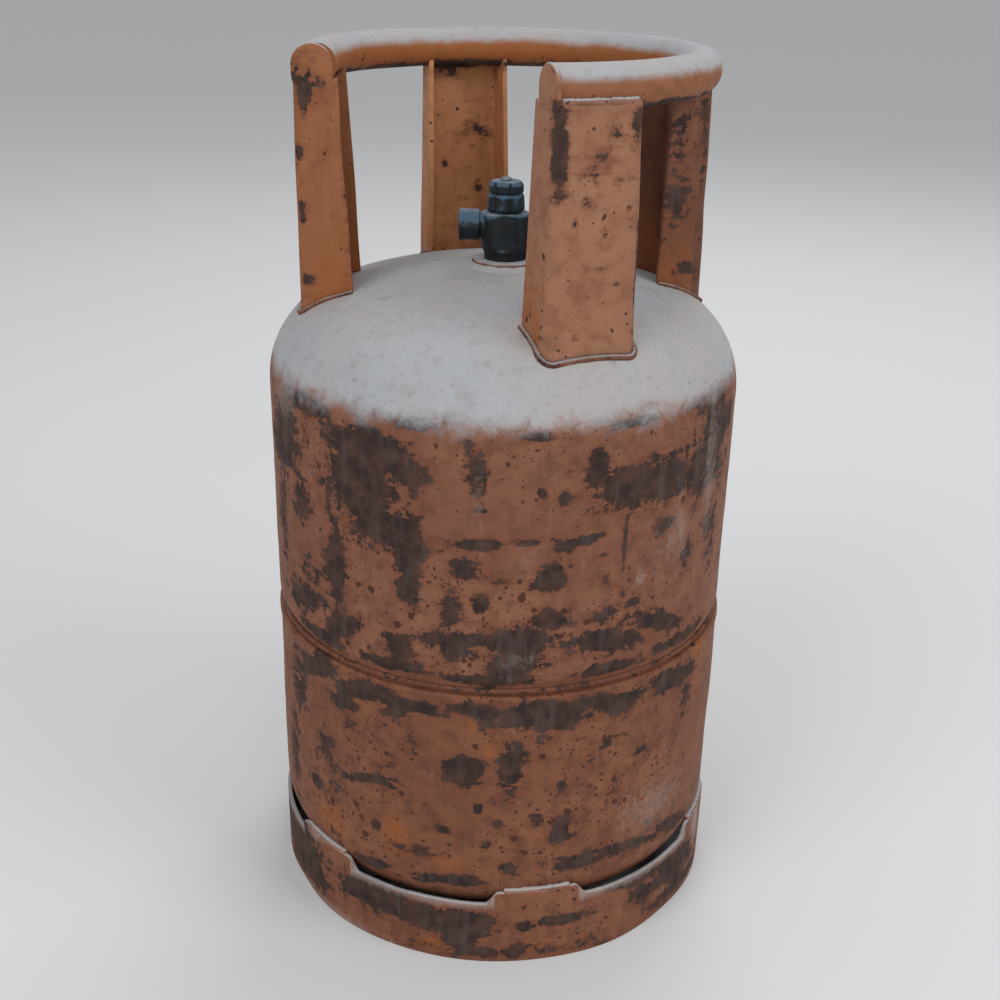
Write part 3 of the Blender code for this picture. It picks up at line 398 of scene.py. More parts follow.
# %% Weld beads
def bead(name, path, radius, pitch=2.6 * MM, swell=0.045, closed=False, seed=1, sides=14, **facts):
    """A bead along a path: radius times (1 + swell times the sine of the distance along it, less a lag that
    grows to the sides). Open ends close like a half ball."""
    path = spaced(path, pitch / 5)
    if closed:
        path = path[:-1]
        tangent = np.roll(path, -1, axis=0) - np.roll(path, 1, axis=0)
    else:
        tangent = np.gradient(path, axis=0)
    tangent /= np.linalg.norm(tangent, axis=1)[:, None]
    out = path * [1, 1, 0]
    out /= np.linalg.norm(out, axis=1)[:, None]
    rise = np.cross(tangent, out)
    rise /= np.linalg.norm(rise, axis=1)[:, None]
    out = np.cross(rise, tangent)
    angle = np.linspace(0, 2 * np.pi, sides, endpoint=False)
    steps = np.concatenate([[0], np.cumsum(np.linalg.norm(np.diff(path, axis=0), axis=1))])
    rng = np.random.default_rng(seed)
    wander = np.interp(steps, np.linspace(0, steps[-1], 24), rng.uniform(-0.16, 0.12, 24))
    if closed:
        wander *= np.sin(np.pi * steps / steps[-1])
    phase = steps[:, None] - 0.5 * radius * np.abs(np.sin(angle))[None, :]
    size = radius * (1 + swell * np.sin(2 * np.pi * phase / pitch) + wander[:, None])
    if not closed:
        to_end = np.minimum(steps, steps[-1] - steps)
        size *= np.sqrt(np.clip(1 - (1 - np.clip(to_end / radius, 0, 1)) ** 2, 0, 1))[:, None]
    points = (path[:, None] + size[..., None]
              * (np.cos(angle)[None, :, None] * out[:, None] + np.sin(angle)[None, :, None] * rise[:, None]))
    return make_piece(name, points, (closed, True), **facts)


turns = np.linspace(0, 360, 361)
seam_path = place_at(turns, TANK_RADIUS - 3.0 * MM, 0.0, (SEAM_Z + SEAM_TOP_Z) / 2 - 0.3 * MM)
girth = bead("girth_bead", seam_path, 1.9 * MM, pitch=3.6 * MM, swell=0.05, closed=True, seed=5, sides=10,
             node="girth_weld", slot="weld_metal")

# The bung's fillet: a low mound, given as radius and height above the dome in millimetres
mound = [(21.2, 0.3), (21.3, 2.2), (22.2, 2.5), (23.6, 1.9), (25.2, 0.9), (27.0, 0.1), (27.4, -0.6),
         (24.0, -1.2), (21.2, -1.0)]
mound = np.array([(r * MM, float(dome_height(r * MM)) + rise * MM) for r, rise in mound + mound[:1]])
mound_points = round_axis(spaced(mound, 0.8 * MM)[:-1], np.linspace(0, 360, 160, endpoint=False))
mound_points[..., 2] += ripple(mound_points, 6, 9 * MM, 0.16 * MM)
make_piece("bung_bead", mound_points, (True, True), node="bung_weld", slot="weld_metal")

FOOT_RADIUS, FOOT_WALL = 158.6 * MM, 3.0 * MM
TAB_TOP, SLOT_LOW = 57.5 * MM, 48.5 * MM
TAB_MIDDLES = 11.0 + 60.0 * np.arange(6)
TAB_HALF = 10.5

for index, middle in enumerate(TAB_MIDDLES):
    turns = np.linspace(middle - TAB_HALF + 2.0, middle + TAB_HALF - 2.0, 40)
    tab_path = place_at(turns, 156.5 * MM, 0.0, TAB_TOP + 0.5 * MM)
    bead("foot_bead_%d" % (index + 1), tab_path, 2.1 * MM, seed=20 + index,
         node="foot_ring_weld_%d" % (index + 1), slot="weld_metal")

# %% [markdown]
# The foot ring is a strip of plate rolled into a hoop. Long slots let water drain off the
# tank's bottom and leave six tabs, which carry the welds. Here the hoop's section runs round
# the plate: up the outside, over the top edge and down the inside. The height of that edge
# depends on the azimuth, and this one rule makes slots, tabs and their rounded corners.

# %% Foot ring
SLOT_END = 10 * MM
EDGE_ROUND = 0.8 * MM


def edge_height(azimuth):
    """Top edge of the foot ring: the tab's height, then half a cosine wave down into each slot."""
    away = np.min(np.abs(turned_by(azimuth[:, None], TAB_MIDDLES[None, :])), axis=1)
    past = np.clip((np.radians(away - TAB_HALF) * FOOT_RADIUS) / SLOT_END + 0.3, 0, 1)
    return TAB_TOP - (TAB_TOP - SLOT_LOW) * (1 - np.cos(np.pi * past)) / 2


def foot_azimuths():
    """Even steps of one degree, and fine ones near each slot's ends."""
    ends = np.concatenate([TAB_MIDDLES - TAB_HALF, TAB_MIDDLES + TAB_HALF])
    fine = (ends[:, None] + np.linspace(-3.4, 3.4, 45)[None, :]).ravel()
    return np.unique(np.round(np.concatenate([np.arange(0, 360, 1.0), fine % 360]), 3))


def foot_section():
    """Rows round the plate: radius, fixed height, and the share of the edge's height that is added to it.
    Outer wall, two rounded corners, inner wall and two more corners follow each other."""
    quarter, inside = np.linspace(0, np.pi / 2, 5), FOOT_RADIUS - FOOT_WALL

    def wall(radius, shares):
        """Straight rows from the lower rounding to the upper one."""
        return [(radius, EDGE_ROUND * (1 - 2 * s), s) for s in shares]

    def corner(centre, top, angles):
        """Rows of a rounding: centre plus EDGE_ROUND times cosine and sine; top is 1 above, 0 below."""
        return [(centre + EDGE_ROUND * math.cos(a), EDGE_ROUND * (1 - 2 * top + math.sin(a)), top)
                for a in angles]

    near, far, share = inside + EDGE_ROUND, FOOT_RADIUS - EDGE_ROUND, np.linspace(0, 1, 26)
    rows = wall(FOOT_RADIUS, share) + corner(far, 1, quarter[1:]) + corner(near, 1, quarter + np.pi / 2)
    rows += wall(inside, share[::-2][1:]) + corner(near, 0, quarter[1:] + np.pi)
    rows += corner(far, 0, quarter[:-1] + 1.5 * np.pi)
    return np.array(rows).T


def foot_points():
    """The plate's section at every azimuth, under an uneven top edge, pushed by slow waves and one dent."""
    azimuth = foot_azimuths()
    uneven = np.random.default_rng(8).uniform(-0.5, 0.5, 61) * MM
    top = edge_height(azimuth) + np.interp(azimuth, np.arange(0, 361, 6), uneven)
    radius, fixed, share = foot_section()
    height = fixed + share * top[:, None]
    points = place_at(azimuth[:, None], radius, 0.0, height)
    free = np.clip((TAB_TOP - height) / TAB_TOP, 0, 1)
    amount = ripple(points * [1, 1, 0.4], 9, 90 * MM, 0.5 * MM) * (0.3 + 0.7 * free)
    amount -= 1.5 * MM * free * np.exp(-(turned_by(azimuth[:, None], -62) / 9) ** 2)
    return push(points, amount)


foot_skin = make_piece("foot_hoop", foot_points(), (True, True), node="foot_ring", slot="foot_paint")

# %% [markdown]
# The guard stands on four posts. Each was folded from sheet into a tapered channel that is
# open to the inside. The channel's outer face is a grid: across it runs side, bend, web, bend
# and side, and up it runs from the tank's skin to the tube. The loop comes back along the
# inner face one sheet deeper, which gives the plate its thickness and its cut edges.

# %% Posts
POSTS = {"front": 23.0, "right": 110.5, "back": 195.5, "left": 271.0}
POST_REACH = 132.4 * MM
TUBE_RADIUS = 12.6 * MM
RING_RADIUS = POST_REACH - TUBE_RADIUS
RING_Z = DOME_TOP_Z + 125.8 * MM
SHEET = 3.0 * MM
BEND = 7.0 * MM
WEB_TOP_Z = RING_Z - 7.5 * MM
POST_FOOT_Z = float(dome_height(POST_REACH))


def post_share(height):
    """How far up a post: 0 at its foot, 1 at the tube's middle."""
    return (height - POST_FOOT_Z) / (RING_Z - POST_FOOT_Z)


def half_width(height):
    """Half of the post's width, which narrows from 60.5 to 55 mm."""
    return (60.5 - 5.5 * post_share(height)) / 2 * MM


def side_depth(height):
    """How far the sides reach in, from 35 to 27.5 mm."""
    return (35.0 - 7.5 * post_share(height)) * MM


def post_section():
    """One row per place across: shares of the inner end and of the half width, each with its fixed part."""
    share = np.linspace(0, 1, 9)[:-1]
    angle = np.linspace(np.pi / 2, 0, 9)
    inwards = np.linspace(1, 0, 9)[1:]
    side = np.stack([1 - share, share * (POST_REACH - BEND), 1 + 0 * share, 0 * share], axis=1)
    bend = np.stack([0 * angle, POST_REACH - BEND + BEND * np.cos(angle), 1 + 0 * angle,
                     BEND * (np.sin(angle) - 1)], axis=1)
    web = np.stack([0 * inwards, POST_REACH + 0 * inwards, inwards, -BEND * inwards], axis=1)
    half = np.concatenate([side, bend, web])
    return np.concatenate([half, half[-2::-1] * [1, 1, -1, -1]])


SECTION = post_section()


def across_post(height):
    """(reach, aside) of the outer face: side, bend, web, bend and side down the rows, heights across."""
    inner_end = POST_REACH - side_depth(height)
    reach = SECTION[:, :1] * inner_end + SECTION[:, 1:2]
    aside = SECTION[:, 2:3] * half_width(height) + SECTION[:, 3:4]
    return reach, aside


def post_points(azimuth, seed):
    """The whole folded sheet: a loop out along the outer face and back along the inner one, one sheet deeper.
    It runs up from the dome's skin to the tube's underside, and its two ends close on the middle line. The
    width depends on the height and the ends on the width, so four rounds bring them together."""
    share = np.concatenate([[0, 0, 0.007], np.linspace(0.03, 0.97, 44), [0.993, 1, 1]])
    closing = np.zeros_like(share)
    closing[[0, -1]], closing[[1, -2]] = 1.0, 0.35
    height = POST_FOOT_Z + (WEB_TOP_Z - POST_FOOT_Z) * share[None, :]
    for _ in range(4):
        reach, aside = across_post(height)
        along = np.gradient(np.stack([reach, aside]), axis=1)
        along /= np.linalg.norm(along, axis=0)
        inward = np.stack([along[1], -along[0]])
        inward *= np.where(inward[0, len(reach) // 2, 0] > 0, -1.0, 1.0)
        outer = np.stack([reach, aside])
        inner = outer + inward * SHEET
        rim = [(outer + inner)[:, [k]] / 2 - s * 0.35 * MM * along[:, [k]] for k, s in ((0, 1), (-1, -1))]
        loop = np.concatenate([outer, rim[1], inner[:, ::-1], rim[0]], axis=1)
        middle = (outer + inner) / 2
        middle = np.concatenate([middle, middle[:, -1:], middle[:, ::-1], middle[:, :1]], axis=1)
        loop = loop + (middle - loop) * closing
        away = np.hypot(loop[0], loop[1])
        low = dome_height(away[:, :1], 0.3 * MM)
        off_tube = (TUBE_RADIUS + 0.2 * MM) ** 2 - (away[:, -1:] - RING_RADIUS) ** 2
        tube = RING_Z - np.sqrt(np.maximum(off_tube, 0))
        high = np.minimum(WEB_TOP_Z, tube)
        loop_height = low + (high - low) * share[None, :]
        height = loop_height[:len(reach)]
    points = place_at(azimuth, loop[0], loop[1], loop_height)
    calm = np.sin(np.pi * share)[None, :]
    return push(points, ripple(points, seed, 60 * MM, 0.35 * MM) * calm)


post_pieces = []
for seed, (name, azimuth) in enumerate(POSTS.items()):
    post_pieces.append(make_piece("post_" + name, post_points(azimuth, 30 + seed),
                                  node="guard_post_" + name, slot="guard_paint"))

# %% [markdown]
# The front post and the left post end the C of the tube. The fabricator let one side of each
# run up into a round plate, which caps the tube. Each plate is a thick coin with a rounded
# rim: an outline of radius against thickness, swept round the tube's own direction.

# %% End plates
def plate_points(azimuth, sign):
    """A coin: its outline goes out along one face, round the rim and back, and is swept round the tube's
    line. Its lower half is squared: the powers in the circle's equation rise from 2 to 5 there."""
    radius, edge = TUBE_RADIUS + 0.3 * MM, 1.4 * MM
    outline = np.concatenate([[(0.0, 0.0)], arc((radius - edge, -edge), edge, np.pi / 2, 0, 6),
                              arc((radius - edge, -SHEET + edge), edge, 0, -np.pi / 2, 6), [(0.0, -SHEET)]])
    angle = np.linspace(0, 2 * np.pi, 72, endpoint=False)[:, None]
    half = float(half_width(RING_Z))
    power = np.where(np.sin(angle) < 0, 2 + 3 * np.minimum(1, -4 * np.sin(angle)), 2.0)
    square = 1 / (np.abs(np.cos(angle)) ** power + np.abs(np.sin(angle)) ** power) ** (1 / power)
    reach = RING_RADIUS + outline[:, 0] * square * np.cos(angle)
    height = RING_Z + outline[:, 0] * square * np.sin(angle)
    aside = sign * (half + outline[:, 1]) + 0 * angle
    return place_at(azimuth, reach, aside, height)


for name, sign in (("front", -1), ("left", 1)):
    post_pieces.append(make_piece("tube_plate_" + name, plate_points(POSTS[name], sign),
                                  node="guard_post_" + name, slot="guard_paint"))

# %% [markdown]
# The guard ring is a gas pipe bent to a C. It was bent from two lengths that are welded
# together at the back, where a narrow waist and a low bead still show. A circle is carried
# along an arc; its radius shrinks at the joint, and a slow ripple stands for the bending.

# %% Guard ring
RING_JOINT = 203.5


def end_turn(aside):
    """Azimuth, counted from a post's middle, at which the tube's line is this far aside."""
    return math.degrees(math.asin(aside / RING_RADIUS))


def ring_points():
    """Circle of the tube's radius carried along the arc, pinched at the joint, with its ends closed flat."""
    reach_in = float(half_width(RING_Z)) - SHEET
    first = POSTS["front"] - end_turn(reach_in)
    last = POSTS["left"] + end_turn(reach_in)
    azimuth = np.concatenate([[first], np.linspace(first, last, 300), [last]])
    angle = np.linspace(0, 2 * np.pi, 48, endpoint=False)
    away = np.radians(azimuth - RING_JOINT) * RING_RADIUS
    waist = 0.10 * np.exp(-(away / (4.5 * MM)) ** 2)
    bulge = 0.035 * np.exp(-(away / (1.8 * MM)) ** 2)
    size = TUBE_RADIUS * (1 - waist + bulge)
    size[0] = size[-1] = 1e-7
    reach = RING_RADIUS + size[:, None] * np.cos(angle)
    height = RING_Z + size[:, None] * np.sin(angle)
    points = place_at(azimuth[:, None], reach, 0.0, height)
    wave = ripple(points, 12, 70 * MM, 0.18 * MM)
    wave[[0, 1, -2, -1]] = 0
    return points + place_at(azimuth[:, None], np.cos(angle), 0.0, np.sin(angle)) * wave[..., None]


ring_piece = make_piece("guard_tube", ring_points(), (False, True), node="guard_ring", slot="guard_paint")

# %% [markdown]
# Each post is welded to the dome along its whole folded foot, and to the tube along its top.
# The foot's bead follows the same outline as the sheet, moved out by nearly a millimetre, at
# the dome's height. The top bead lies on the web's edge and curls in at its two ends.

# %% Welds of the posts
for seed, (name, azimuth) in enumerate(POSTS.items()):
    reach, aside = (values[:, 0] for values in across_post(np.array([[POST_FOOT_Z]])))
    away = np.gradient(np.stack([reach, aside], axis=1), axis=0)
    away /= np.linalg.norm(away, axis=1)[:, None]
    reach, aside = reach - 0.9 * MM * away[:, 1], aside + 0.9 * MM * away[:, 0]
    foot_path = place_at(azimuth, reach, aside, dome_height(np.hypot(reach, aside), 0.1 * MM))
    bead("foot_seam_" + name, foot_path, 1.9 * MM, pitch=3.0 * MM, seed=40 + seed,
         node="post_foot_weld_" + name, slot="weld_metal")
    across = np.linspace(-1, 1, 20) * (float(half_width(RING_Z)) - 3 * MM)
    curl = 0.08 * across ** 4 / (26 * MM) ** 3
    ledge_path = place_at(azimuth, POST_REACH - 1.3 * MM - curl, across, WEB_TOP_Z + 0.2 * MM)
    bead("ring_seam_" + name, ledge_path, 2.2 * MM, pitch=3.0 * MM, seed=50 + seed,
         node="guard_ring_weld_" + name, slot="weld_metal")

# %% [markdown]
# The valve is a brass forging that has gone nearly black. Turned parts are outlines swept
# round their axis. The barrel's front and back were milled flat: its radius is the smaller of
# the turned radius and the distance to the flat.

# %% Valve sizes
BUNG_TOP_Z = DOME_TOP_Z + 3.3 * MM
BODY_TOP_Z = BUNG_TOP_Z + 30.3 * MM
OUTLET_Z = BUNG_TOP_Z + 21.6 * MM
RELIEF_Z = BUNG_TOP_Z + 9.4 * MM
KNOB_Z = BODY_TOP_Z + 0.9 * MM
KNOB_TOP_Z = KNOB_Z + 19.2 * MM
AROUND_VALVE = np.linspace(0, 360, 96, endpoint=False)


def rounded(outline, radius, steps=5):
    """An outline whose inner corners are replaced by arcs: quadratic curves between points radius away."""
    outline = np.asarray(outline, float)
    parts = [outline[:1]]
    for before, corner, after in zip(outline[:-2], outline[1:-1], outline[2:]):
        reach_in = min(radius, 0.45 * np.linalg.norm(corner - before), 0.45 * np.linalg.norm(after - corner))
        start = corner + (before - corner) / np.linalg.norm(before - corner) * reach_in
        end = corner + (after - corner) / np.linalg.norm(after - corner) * reach_in
        t = np.linspace(0, 1, steps)[:, None]
        parts.append((1 - t) ** 2 * start + 2 * t * (1 - t) * corner + t ** 2 * end)
    return np.concatenate(parts + [outline[-1:]])


def turned(base, corner, step, *outline, around=AROUND_VALVE, steps=5):
    """A turned part: an outline of (radius, height above base) in millimetres whose corners are rounded, with
    points one step apart, swept round Z."""
    line = rounded(steps_from(0.0, base, *outline), corner * MM, steps)
    return round_axis(spaced(line, step * MM), around)


# %% [markdown]
# The bung is a plain collar that is welded into the dome. The valve's barrel screws into it and
# carries a spout for the hose on one side and a boss for the relief valve on the other. Both are
# turned shapes laid over onto the X axis, and their inner ends hide in the barrel.

# %% Bung and valve body
bung_line = rounded(steps_from(0.0, DOME_TOP_Z, (13.8, 3.3), (21, 3.3), (21, -20), (13.8, -20)), 1.2 * MM)
bung_points = round_axis(np.concatenate([bung_line, bung_line[:1]]), AROUND_VALVE)
make_piece("bung_boss", push(bung_points, ripple(bung_points, 61, 9 * MM, 0.12 * MM)),
           node="valve_bung", slot="bung_steel")

FLAT_REACH, FLAT_BLEND = 14.0 * MM, 0.5 * MM
barrel = turned(BUNG_TOP_Z, 2.6, 0.9, (0, 30.3), (16, 30.3), (16, 7.6), (13.8, 3.4), (13.4, -18), (0, -19),
                steps=7)
radius = np.hypot(barrel[..., 0], barrel[..., 1])
flat = FLAT_REACH / (np.abs(np.cos(np.radians(AROUND_VALVE)))[:, None] + 1e-6)
# The smaller of the two, with a soft edge between them
milled = -np.logaddexp(-radius / FLAT_BLEND, -flat / FLAT_BLEND) * FLAT_BLEND
above_neck = np.clip((barrel[..., 2] - BUNG_TOP_Z - 5 * MM) / (3 * MM), 0, 1)
off_axis = radius > 1 * MM
change = (np.minimum(milled, radius) - radius) * above_neck * off_axis
barrel = push(barrel, change + ripple(barrel, 62, 8 * MM, 0.12 * MM) * off_axis)
spout = turned(0.0, 1.0, 0.8, (0, 10), (9.6, 10), (9.4, 15.2), (8.3, 16.4), (8.3, 26.6), (7.6, 27), (0, 27))
boss = turned(0.0, 0.8, 0.8, (0, 9), (9.4, 9), (8.4, 15), (8, 22), (6.4, 22), (6.4, 14.2), (0, 14.2))
turned_parts = {"valve_barrel": barrel, "valve_spout": along_x(spout, OUTLET_Z, -1),
                "relief_boss": along_x(boss, RELIEF_Z, 1)}
valve_pieces = [make_piece(name, points, node="valve_body", slot="valve_brass")
                for name, points in turned_parts.items()]

# %% [markdown]
# The knob is a moulded plastic cap with six grip flutes, a groove round its middle and a
# crowned top. Each flute subtracts a bell-shaped amount from the turned radius. The outlet's
# cap is a smooth cup with a raised rim.

# %% Knob, screw and outlet cap
FLUTES, FIRST_FLUTE, FLUTE_DEPTH = 6, 16.0, 1.5 * MM
pitch = 360 / FLUTES
knob_points = turned(KNOB_Z, 0.9, 0.5, (0, 19.2), (9.4, 19.2), (11.3, 16.8), (11.5, 12.4), (10.6, 11.3),
                     (11.7, 9.9), (12.4, 1.2), (11.8, 0), (9.2, 0), (9.2, 7), (0, 7),
                     around=np.linspace(0, 360, 180, endpoint=False))
radius = np.hypot(knob_points[..., 0], knob_points[..., 1])
to_flute = (turned_by(azimuth_of(knob_points), FIRST_FLUTE) + pitch / 2) % pitch - pitch / 2
grip = np.exp(-(to_flute / 6.5) ** 2) * np.clip((radius - 9.6 * MM) / (1.5 * MM), 0, 1)
knob = make_piece("grip_knob", push(knob_points, -FLUTE_DEPTH * grip), body="handwheel",
                  node="handwheel", slot="knob_plastic")

# The screw's head has a slot: a flat-bottomed dip across it, whose sides fall by a sixth power
screw_points = turned(KNOB_TOP_Z, 0.4, 0.25, (0, 2.6), (2.6, 2.2), (3.8, 1), (3.8, 0.2), (0, 0.2))
above_knob = screw_points[..., 2] - KNOB_TOP_Z
in_slot = np.exp(-(screw_points[..., 1] / (0.5 * MM)) ** 6) * (above_knob > 1.0 * MM)
screw_points[..., 2] -= in_slot * np.clip(above_knob - 1.3 * MM, 0, 1)
screw = make_piece("knob_screw", screw_points, body="handwheel", node="handwheel_screw", slot="bare_steel")

cap_points = turned(0.0, 0.7, 0.6, (0, 30.6), (9.6, 30.6), (10.5, 29.6), (10.5, 27.9), (10, 27.1),
                    (10, 17.4), (9.7, 17), (8.7, 17), (8.7, 28.7), (0, 28.7),
                    around=np.linspace(0, 360, 144, endpoint=False))
cap = make_piece("outlet_cup", along_x(cap_points, OUTLET_Z, -1), body="outlet_cap",
                 node="outlet_cap", slot="knob_plastic")

# %% [markdown]
# Behind its cap, the relief valve's disc is held by a small coil spring. The wire's line is a
# helix round the boss's axis, and a circle is carried along it. When the disc lifts, the coil
# has to give way; here it is made at rest, at its full length.

# %% Relief spring
COIL_RADIUS, WIRE = 3.7 * MM, 0.5 * MM
COIL_FROM, COIL_TO, CAP_FACE = 12.41 * MM, 18.15 * MM, 19.0 * MM
COIL_TURNS, DISC_TRAVEL = 4, 2.0 * MM


def coil_points():
    """The middle line runs along X while it circles; the wire's circle spans outwards and along X, and
    shrinks to nothing at both ends."""
    share = np.linspace(0, 1, 193)[:, None]
    turning = 2 * np.pi * COIL_TURNS * share
    round_wire = np.linspace(0, 2 * np.pi, 12, endpoint=False)[None, :]
    thick = WIRE * np.sqrt(np.clip(1 - np.abs(2 * share - 1) ** 120, 1e-8, 1))
    away = COIL_RADIUS + thick * np.cos(round_wire)
    along = COIL_FROM + (COIL_TO - COIL_FROM) * share + thick * np.sin(round_wire)
    return np.stack([along, away * np.cos(turning), RELIEF_Z + away * np.sin(turning)], axis=-1)


coil = make_piece("coil_spring", coil_points(), (False, True), node="relief_spring", slot="bare_steel")
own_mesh(coil)

# %% [markdown]
# Where the paint failed is a story about places: rust starts at knocks, spreads, and runs
# down. Each stain is written as an azimuth, a height, two half sizes in millimetres, a tilt
# if it has one, and a strength. A field falls from the strength at a stain's middle through
# half of it at the rim to 0, and is stored on the mesh. The material later cuts it at a half,
# with noise, for ragged edges.

# %% Stain fields
def stain_field(across, height, stains, round_tank=True):
    """Largest of the stains at each point: strength / (1 + distance^2.4), with the distance in half sizes,
    turned by the tilt where a row has one. Across is an azimuth, or millimetres off a sheet's middle."""
    field = np.zeros(len(height))
    for middle, level, half_w, half_h, *tilt, strength in stains:
        aside = np.radians(turned_by(across, middle)) * TANK_RADIUS / MM if round_tank else across - middle
        rise = height / MM - level
        c, s = math.cos(math.radians(sum(tilt))), math.sin(math.radians(sum(tilt)))
        away = np.hypot((aside * c - rise * s) / half_w, (aside * s + rise * c) / half_h)
        field = np.maximum(field, strength / (1 + away ** 2.4))
    return field


def scattered(seed, count, heights, sizes, tall=1.0):
    """Seeded stains over the back, which the photograph doesn't show."""
    rng = np.random.default_rng(seed)
    size = rng.uniform(*sizes, count)
    return [(rng.uniform(78, 278), rng.uniform(*heights), w, w * tall * rng.uniform(0.5, 1.5),
             rng.uniform(-20, 20), rng.uniform(0.75, 1.0)) for w in size]


def store(piece, **fields):
    """Keep numbers for each point on the mesh, under the name that the material reads."""
    for name, values in fields.items():
        layer = piece.data.attributes.new(name, "FLOAT", "POINT")
        layer.data.foreach_set("value", np.asarray(values, np.float32))


def points_of(piece):
    """The mesh's points as an array, with their azimuths and heights."""
    points = np.empty(len(piece.data.vertices) * 3, np.float32)
    piece.data.vertices.foreach_get("co", points)
    points = points.reshape(-1, 3).astype(float)
    return points, azimuth_of(points), points[:, 2]

# %% [markdown]
# On the tank the worst rust is at the upper left, in a band at the right, and all along the
# seam, where water stands. The tables were read off the photograph. Glow marks orange
# film, haze marks rubbed chalk, and the side that can't be seen gets seeded stains.

# %% Stains of the tank
DUST_FREE_BELOW = 300 * MM
UPPER_STAINS = [
    (-31, 362, 33, 14, 1), (-32, 335, 26, 18, 1), (-27, 318, 22, 14, 1), (-20, 300, 9, 35, 1),
    (-41, 278, 10, 28, 0.9), (-54, 309, 14, 16, 0.8), (-63, 348, 26, 29, 0.85), (-20, 355, 13, 12, 0.9),
    (-5, 356, 6, 20, 0.7), (-7, 375, 4, 8, 0.6), (-5, 313, 15, 5, 0.75), (6, 315, 15, 3, 0.75),
    (17, 312, 17, 3, -12, 0.85), (-8, 296, 11, 9, 0.75), (12, 290, 9, 11, 0.85), (1, 289, 8, 3, 0.7),
    (23, 301, 7, 3, 0.7), (12, 261, 12, 8, 0.95), (-4, 274, 5, 7, 0.9), (10, 286, 10, 3, 0.8),
    (21, 359, 8, 11, 0.95), (29, 343, 20, 13, 1), (40, 341, 24, 14, 1), (54, 341, 26, 18, 1),
    (61, 365, 24, 22, 0.9), (41, 311, 9, 6, 0.85), (25, 283, 5, 5, 0.7), (50, 283, 7, 16, 0.65),
    (25, 260, 9, 5, 0.85), (41, 243, 28, 7, 15, 0.85), (32, 264, 6, 3, 0.7), (-40, 236, 20, 8, -12, 0.85),
    (-23, 237, 13, 10, 0.9), (-10, 247, 28, 7, 0.9), (6, 248, 22, 11, 0.95), (24, 241, 30, 8, 6, 0.9),
    (4, 230, 24, 10, 0.85), (-54, 243, 26, 12, -16, 0.85), (9, 346, 3, 4, 0.95), (14, 341, 4, 5, 0.95),
    (3, 369, 2, 2, 0.9), (-11, 268, 9, 22, 0.55), (29, 308, 1.6, 21, 0.85), (-52, 380, 30, 6, 4, 0.85),
    (-20, 384, 22, 4, 0.8), (8, 381, 12, 4, 0.7), (30, 384, 20, 4, 0.75), (56, 383, 24, 6, 0.85),
    (-48, 222, 30, 6, 0.8), (-24, 222, 26, 6, 0.85), (0, 220, 30, 5, 0.9), (26, 221, 30, 5, 0.85),
    (50, 222, 30, 6, 0.8), (-48, 262, 20, 22, 0.55), (62, 290, 14, 40, 0.55), (-66, 280, 12, 60, 0.6),
    (-34, 340, 22, 26, 1.15), (-8, 238, 34, 9, 0.62)]
LOWER_STAINS_AND_SHADE = [
    (-49, 197, 24, 9, -16, 1), (-34, 195, 28, 7, -14, 1), (-23, 191, 11, 8, -10, 1), (-5, 198, 20, 5, 0.9),
    (12, 193, 34, 11, 1), (29, 194, 26, 8, 8, 0.95), (48, 195, 30, 8, 12, 0.9), (4, 159, 9, 22, 0.8),
    (-8, 152, 14, 9, 0.9), (4, 134, 4, 13, 0.6), (11, 177, 10, 5, 0.6), (-34, 128, 21, 3.5, -18, 0.95),
    (-20, 167, 5, 11, 0.6), (-39, 165, 10, 12, 0.6), (-45, 142, 8, 5, 0.8), (-12, 105, 6, 3, 0.9),
    (1, 113, 4, 3, 0.9), (16, 101, 8, 9, 0.85), (10, 114, 5, 6, 0.9), (-4, 124, 3, 4, 0.9),
    (16, 139, 3, 4, 0.8), (30, 131, 4, 9, 0.65), (-2, 95, 4, 6, 0.8), (-30, 95, 3, 3, 0.9),
    # On the next line the last two rows, and all four rows on the line after it, from 61 to 77 mm high, are
    # painted shade in the crease just above the foot ring.
    (-52, 106, 10, 12, 0.65), (39, 151, 13, 9, 0.55), (-32, 61, 18, 5, -10, 0.9), (-11, 64, 27, 5, -6, 0.9),
    (4, 77, 8, 5, 0.8), (20, 76, 18, 5, 6, 0.85), (37, 75, 32, 5, 10, 0.85), (52, 72, 24, 7, 14, 0.85),
    (-50, 196, 28, 5, 0.9), (-22, 195, 30, 5, 0.95), (4, 196, 30, 5, 0.95), (30, 196, 30, 5, 0.95),
    # The last eight rows are large faint patches that darken the lower half, most of them at the lower left:
    # painted shade.
    (-60, 170, 18, 30, 0.6), (-40, 180, 24, 10, 0.6), (-26, 140, 16, 22, 0.42), (24, 165, 16, 14, 0.4),
    (54, 170, 10, 40, 0.5), (-64, 110, 12, 50, 0.6), (-46, 124, 24, 34, 0.5), (-20, 84, 20, 8, 0.5)]
GLOW_STAINS = [
    (-46, 80, 20, 16, 0.9), (-25, 92, 15, 19, 0.85), (-11, 80, 20, 10, 0.7), (-1, 168, 8, 9, 0.8),
    (-4, 186, 16, 8, 0.7), (60, 200, 16, 40, 0.8), (-60, 150, 20, 40, 0.6), (66, 120, 14, 40, 0.6),
    (150, 110, 22, 24, 0.9), (215, 150, 20, 30, 0.9)]
HAZE_STAINS = [
    (44, 100, 36, 22, 0.65), (34, 280, 4, 5, 0.8), (-5, 340, 5, 24, 0.5), (6, 305, 14, 16, 0.45),
    (4, 232, 16, 10, 0.4), (58, 330, 12, 60, 0.65), (-62, 380, 20, 20, 0.8), (45, 300, 22, 26, 0.6),
    (120, 280, 30, 40, 0.7), (200, 230, 26, 50, 0.7)]

behind_upper = scattered(71, 46, (228, 372), (4, 22)) + scattered(72, 10, (225, 240), (14, 34), 0.4)
behind_lower = scattered(73, 40, (66, 196), (3, 15)) + scattered(74, 12, (188, 198), (14, 34), 0.35)

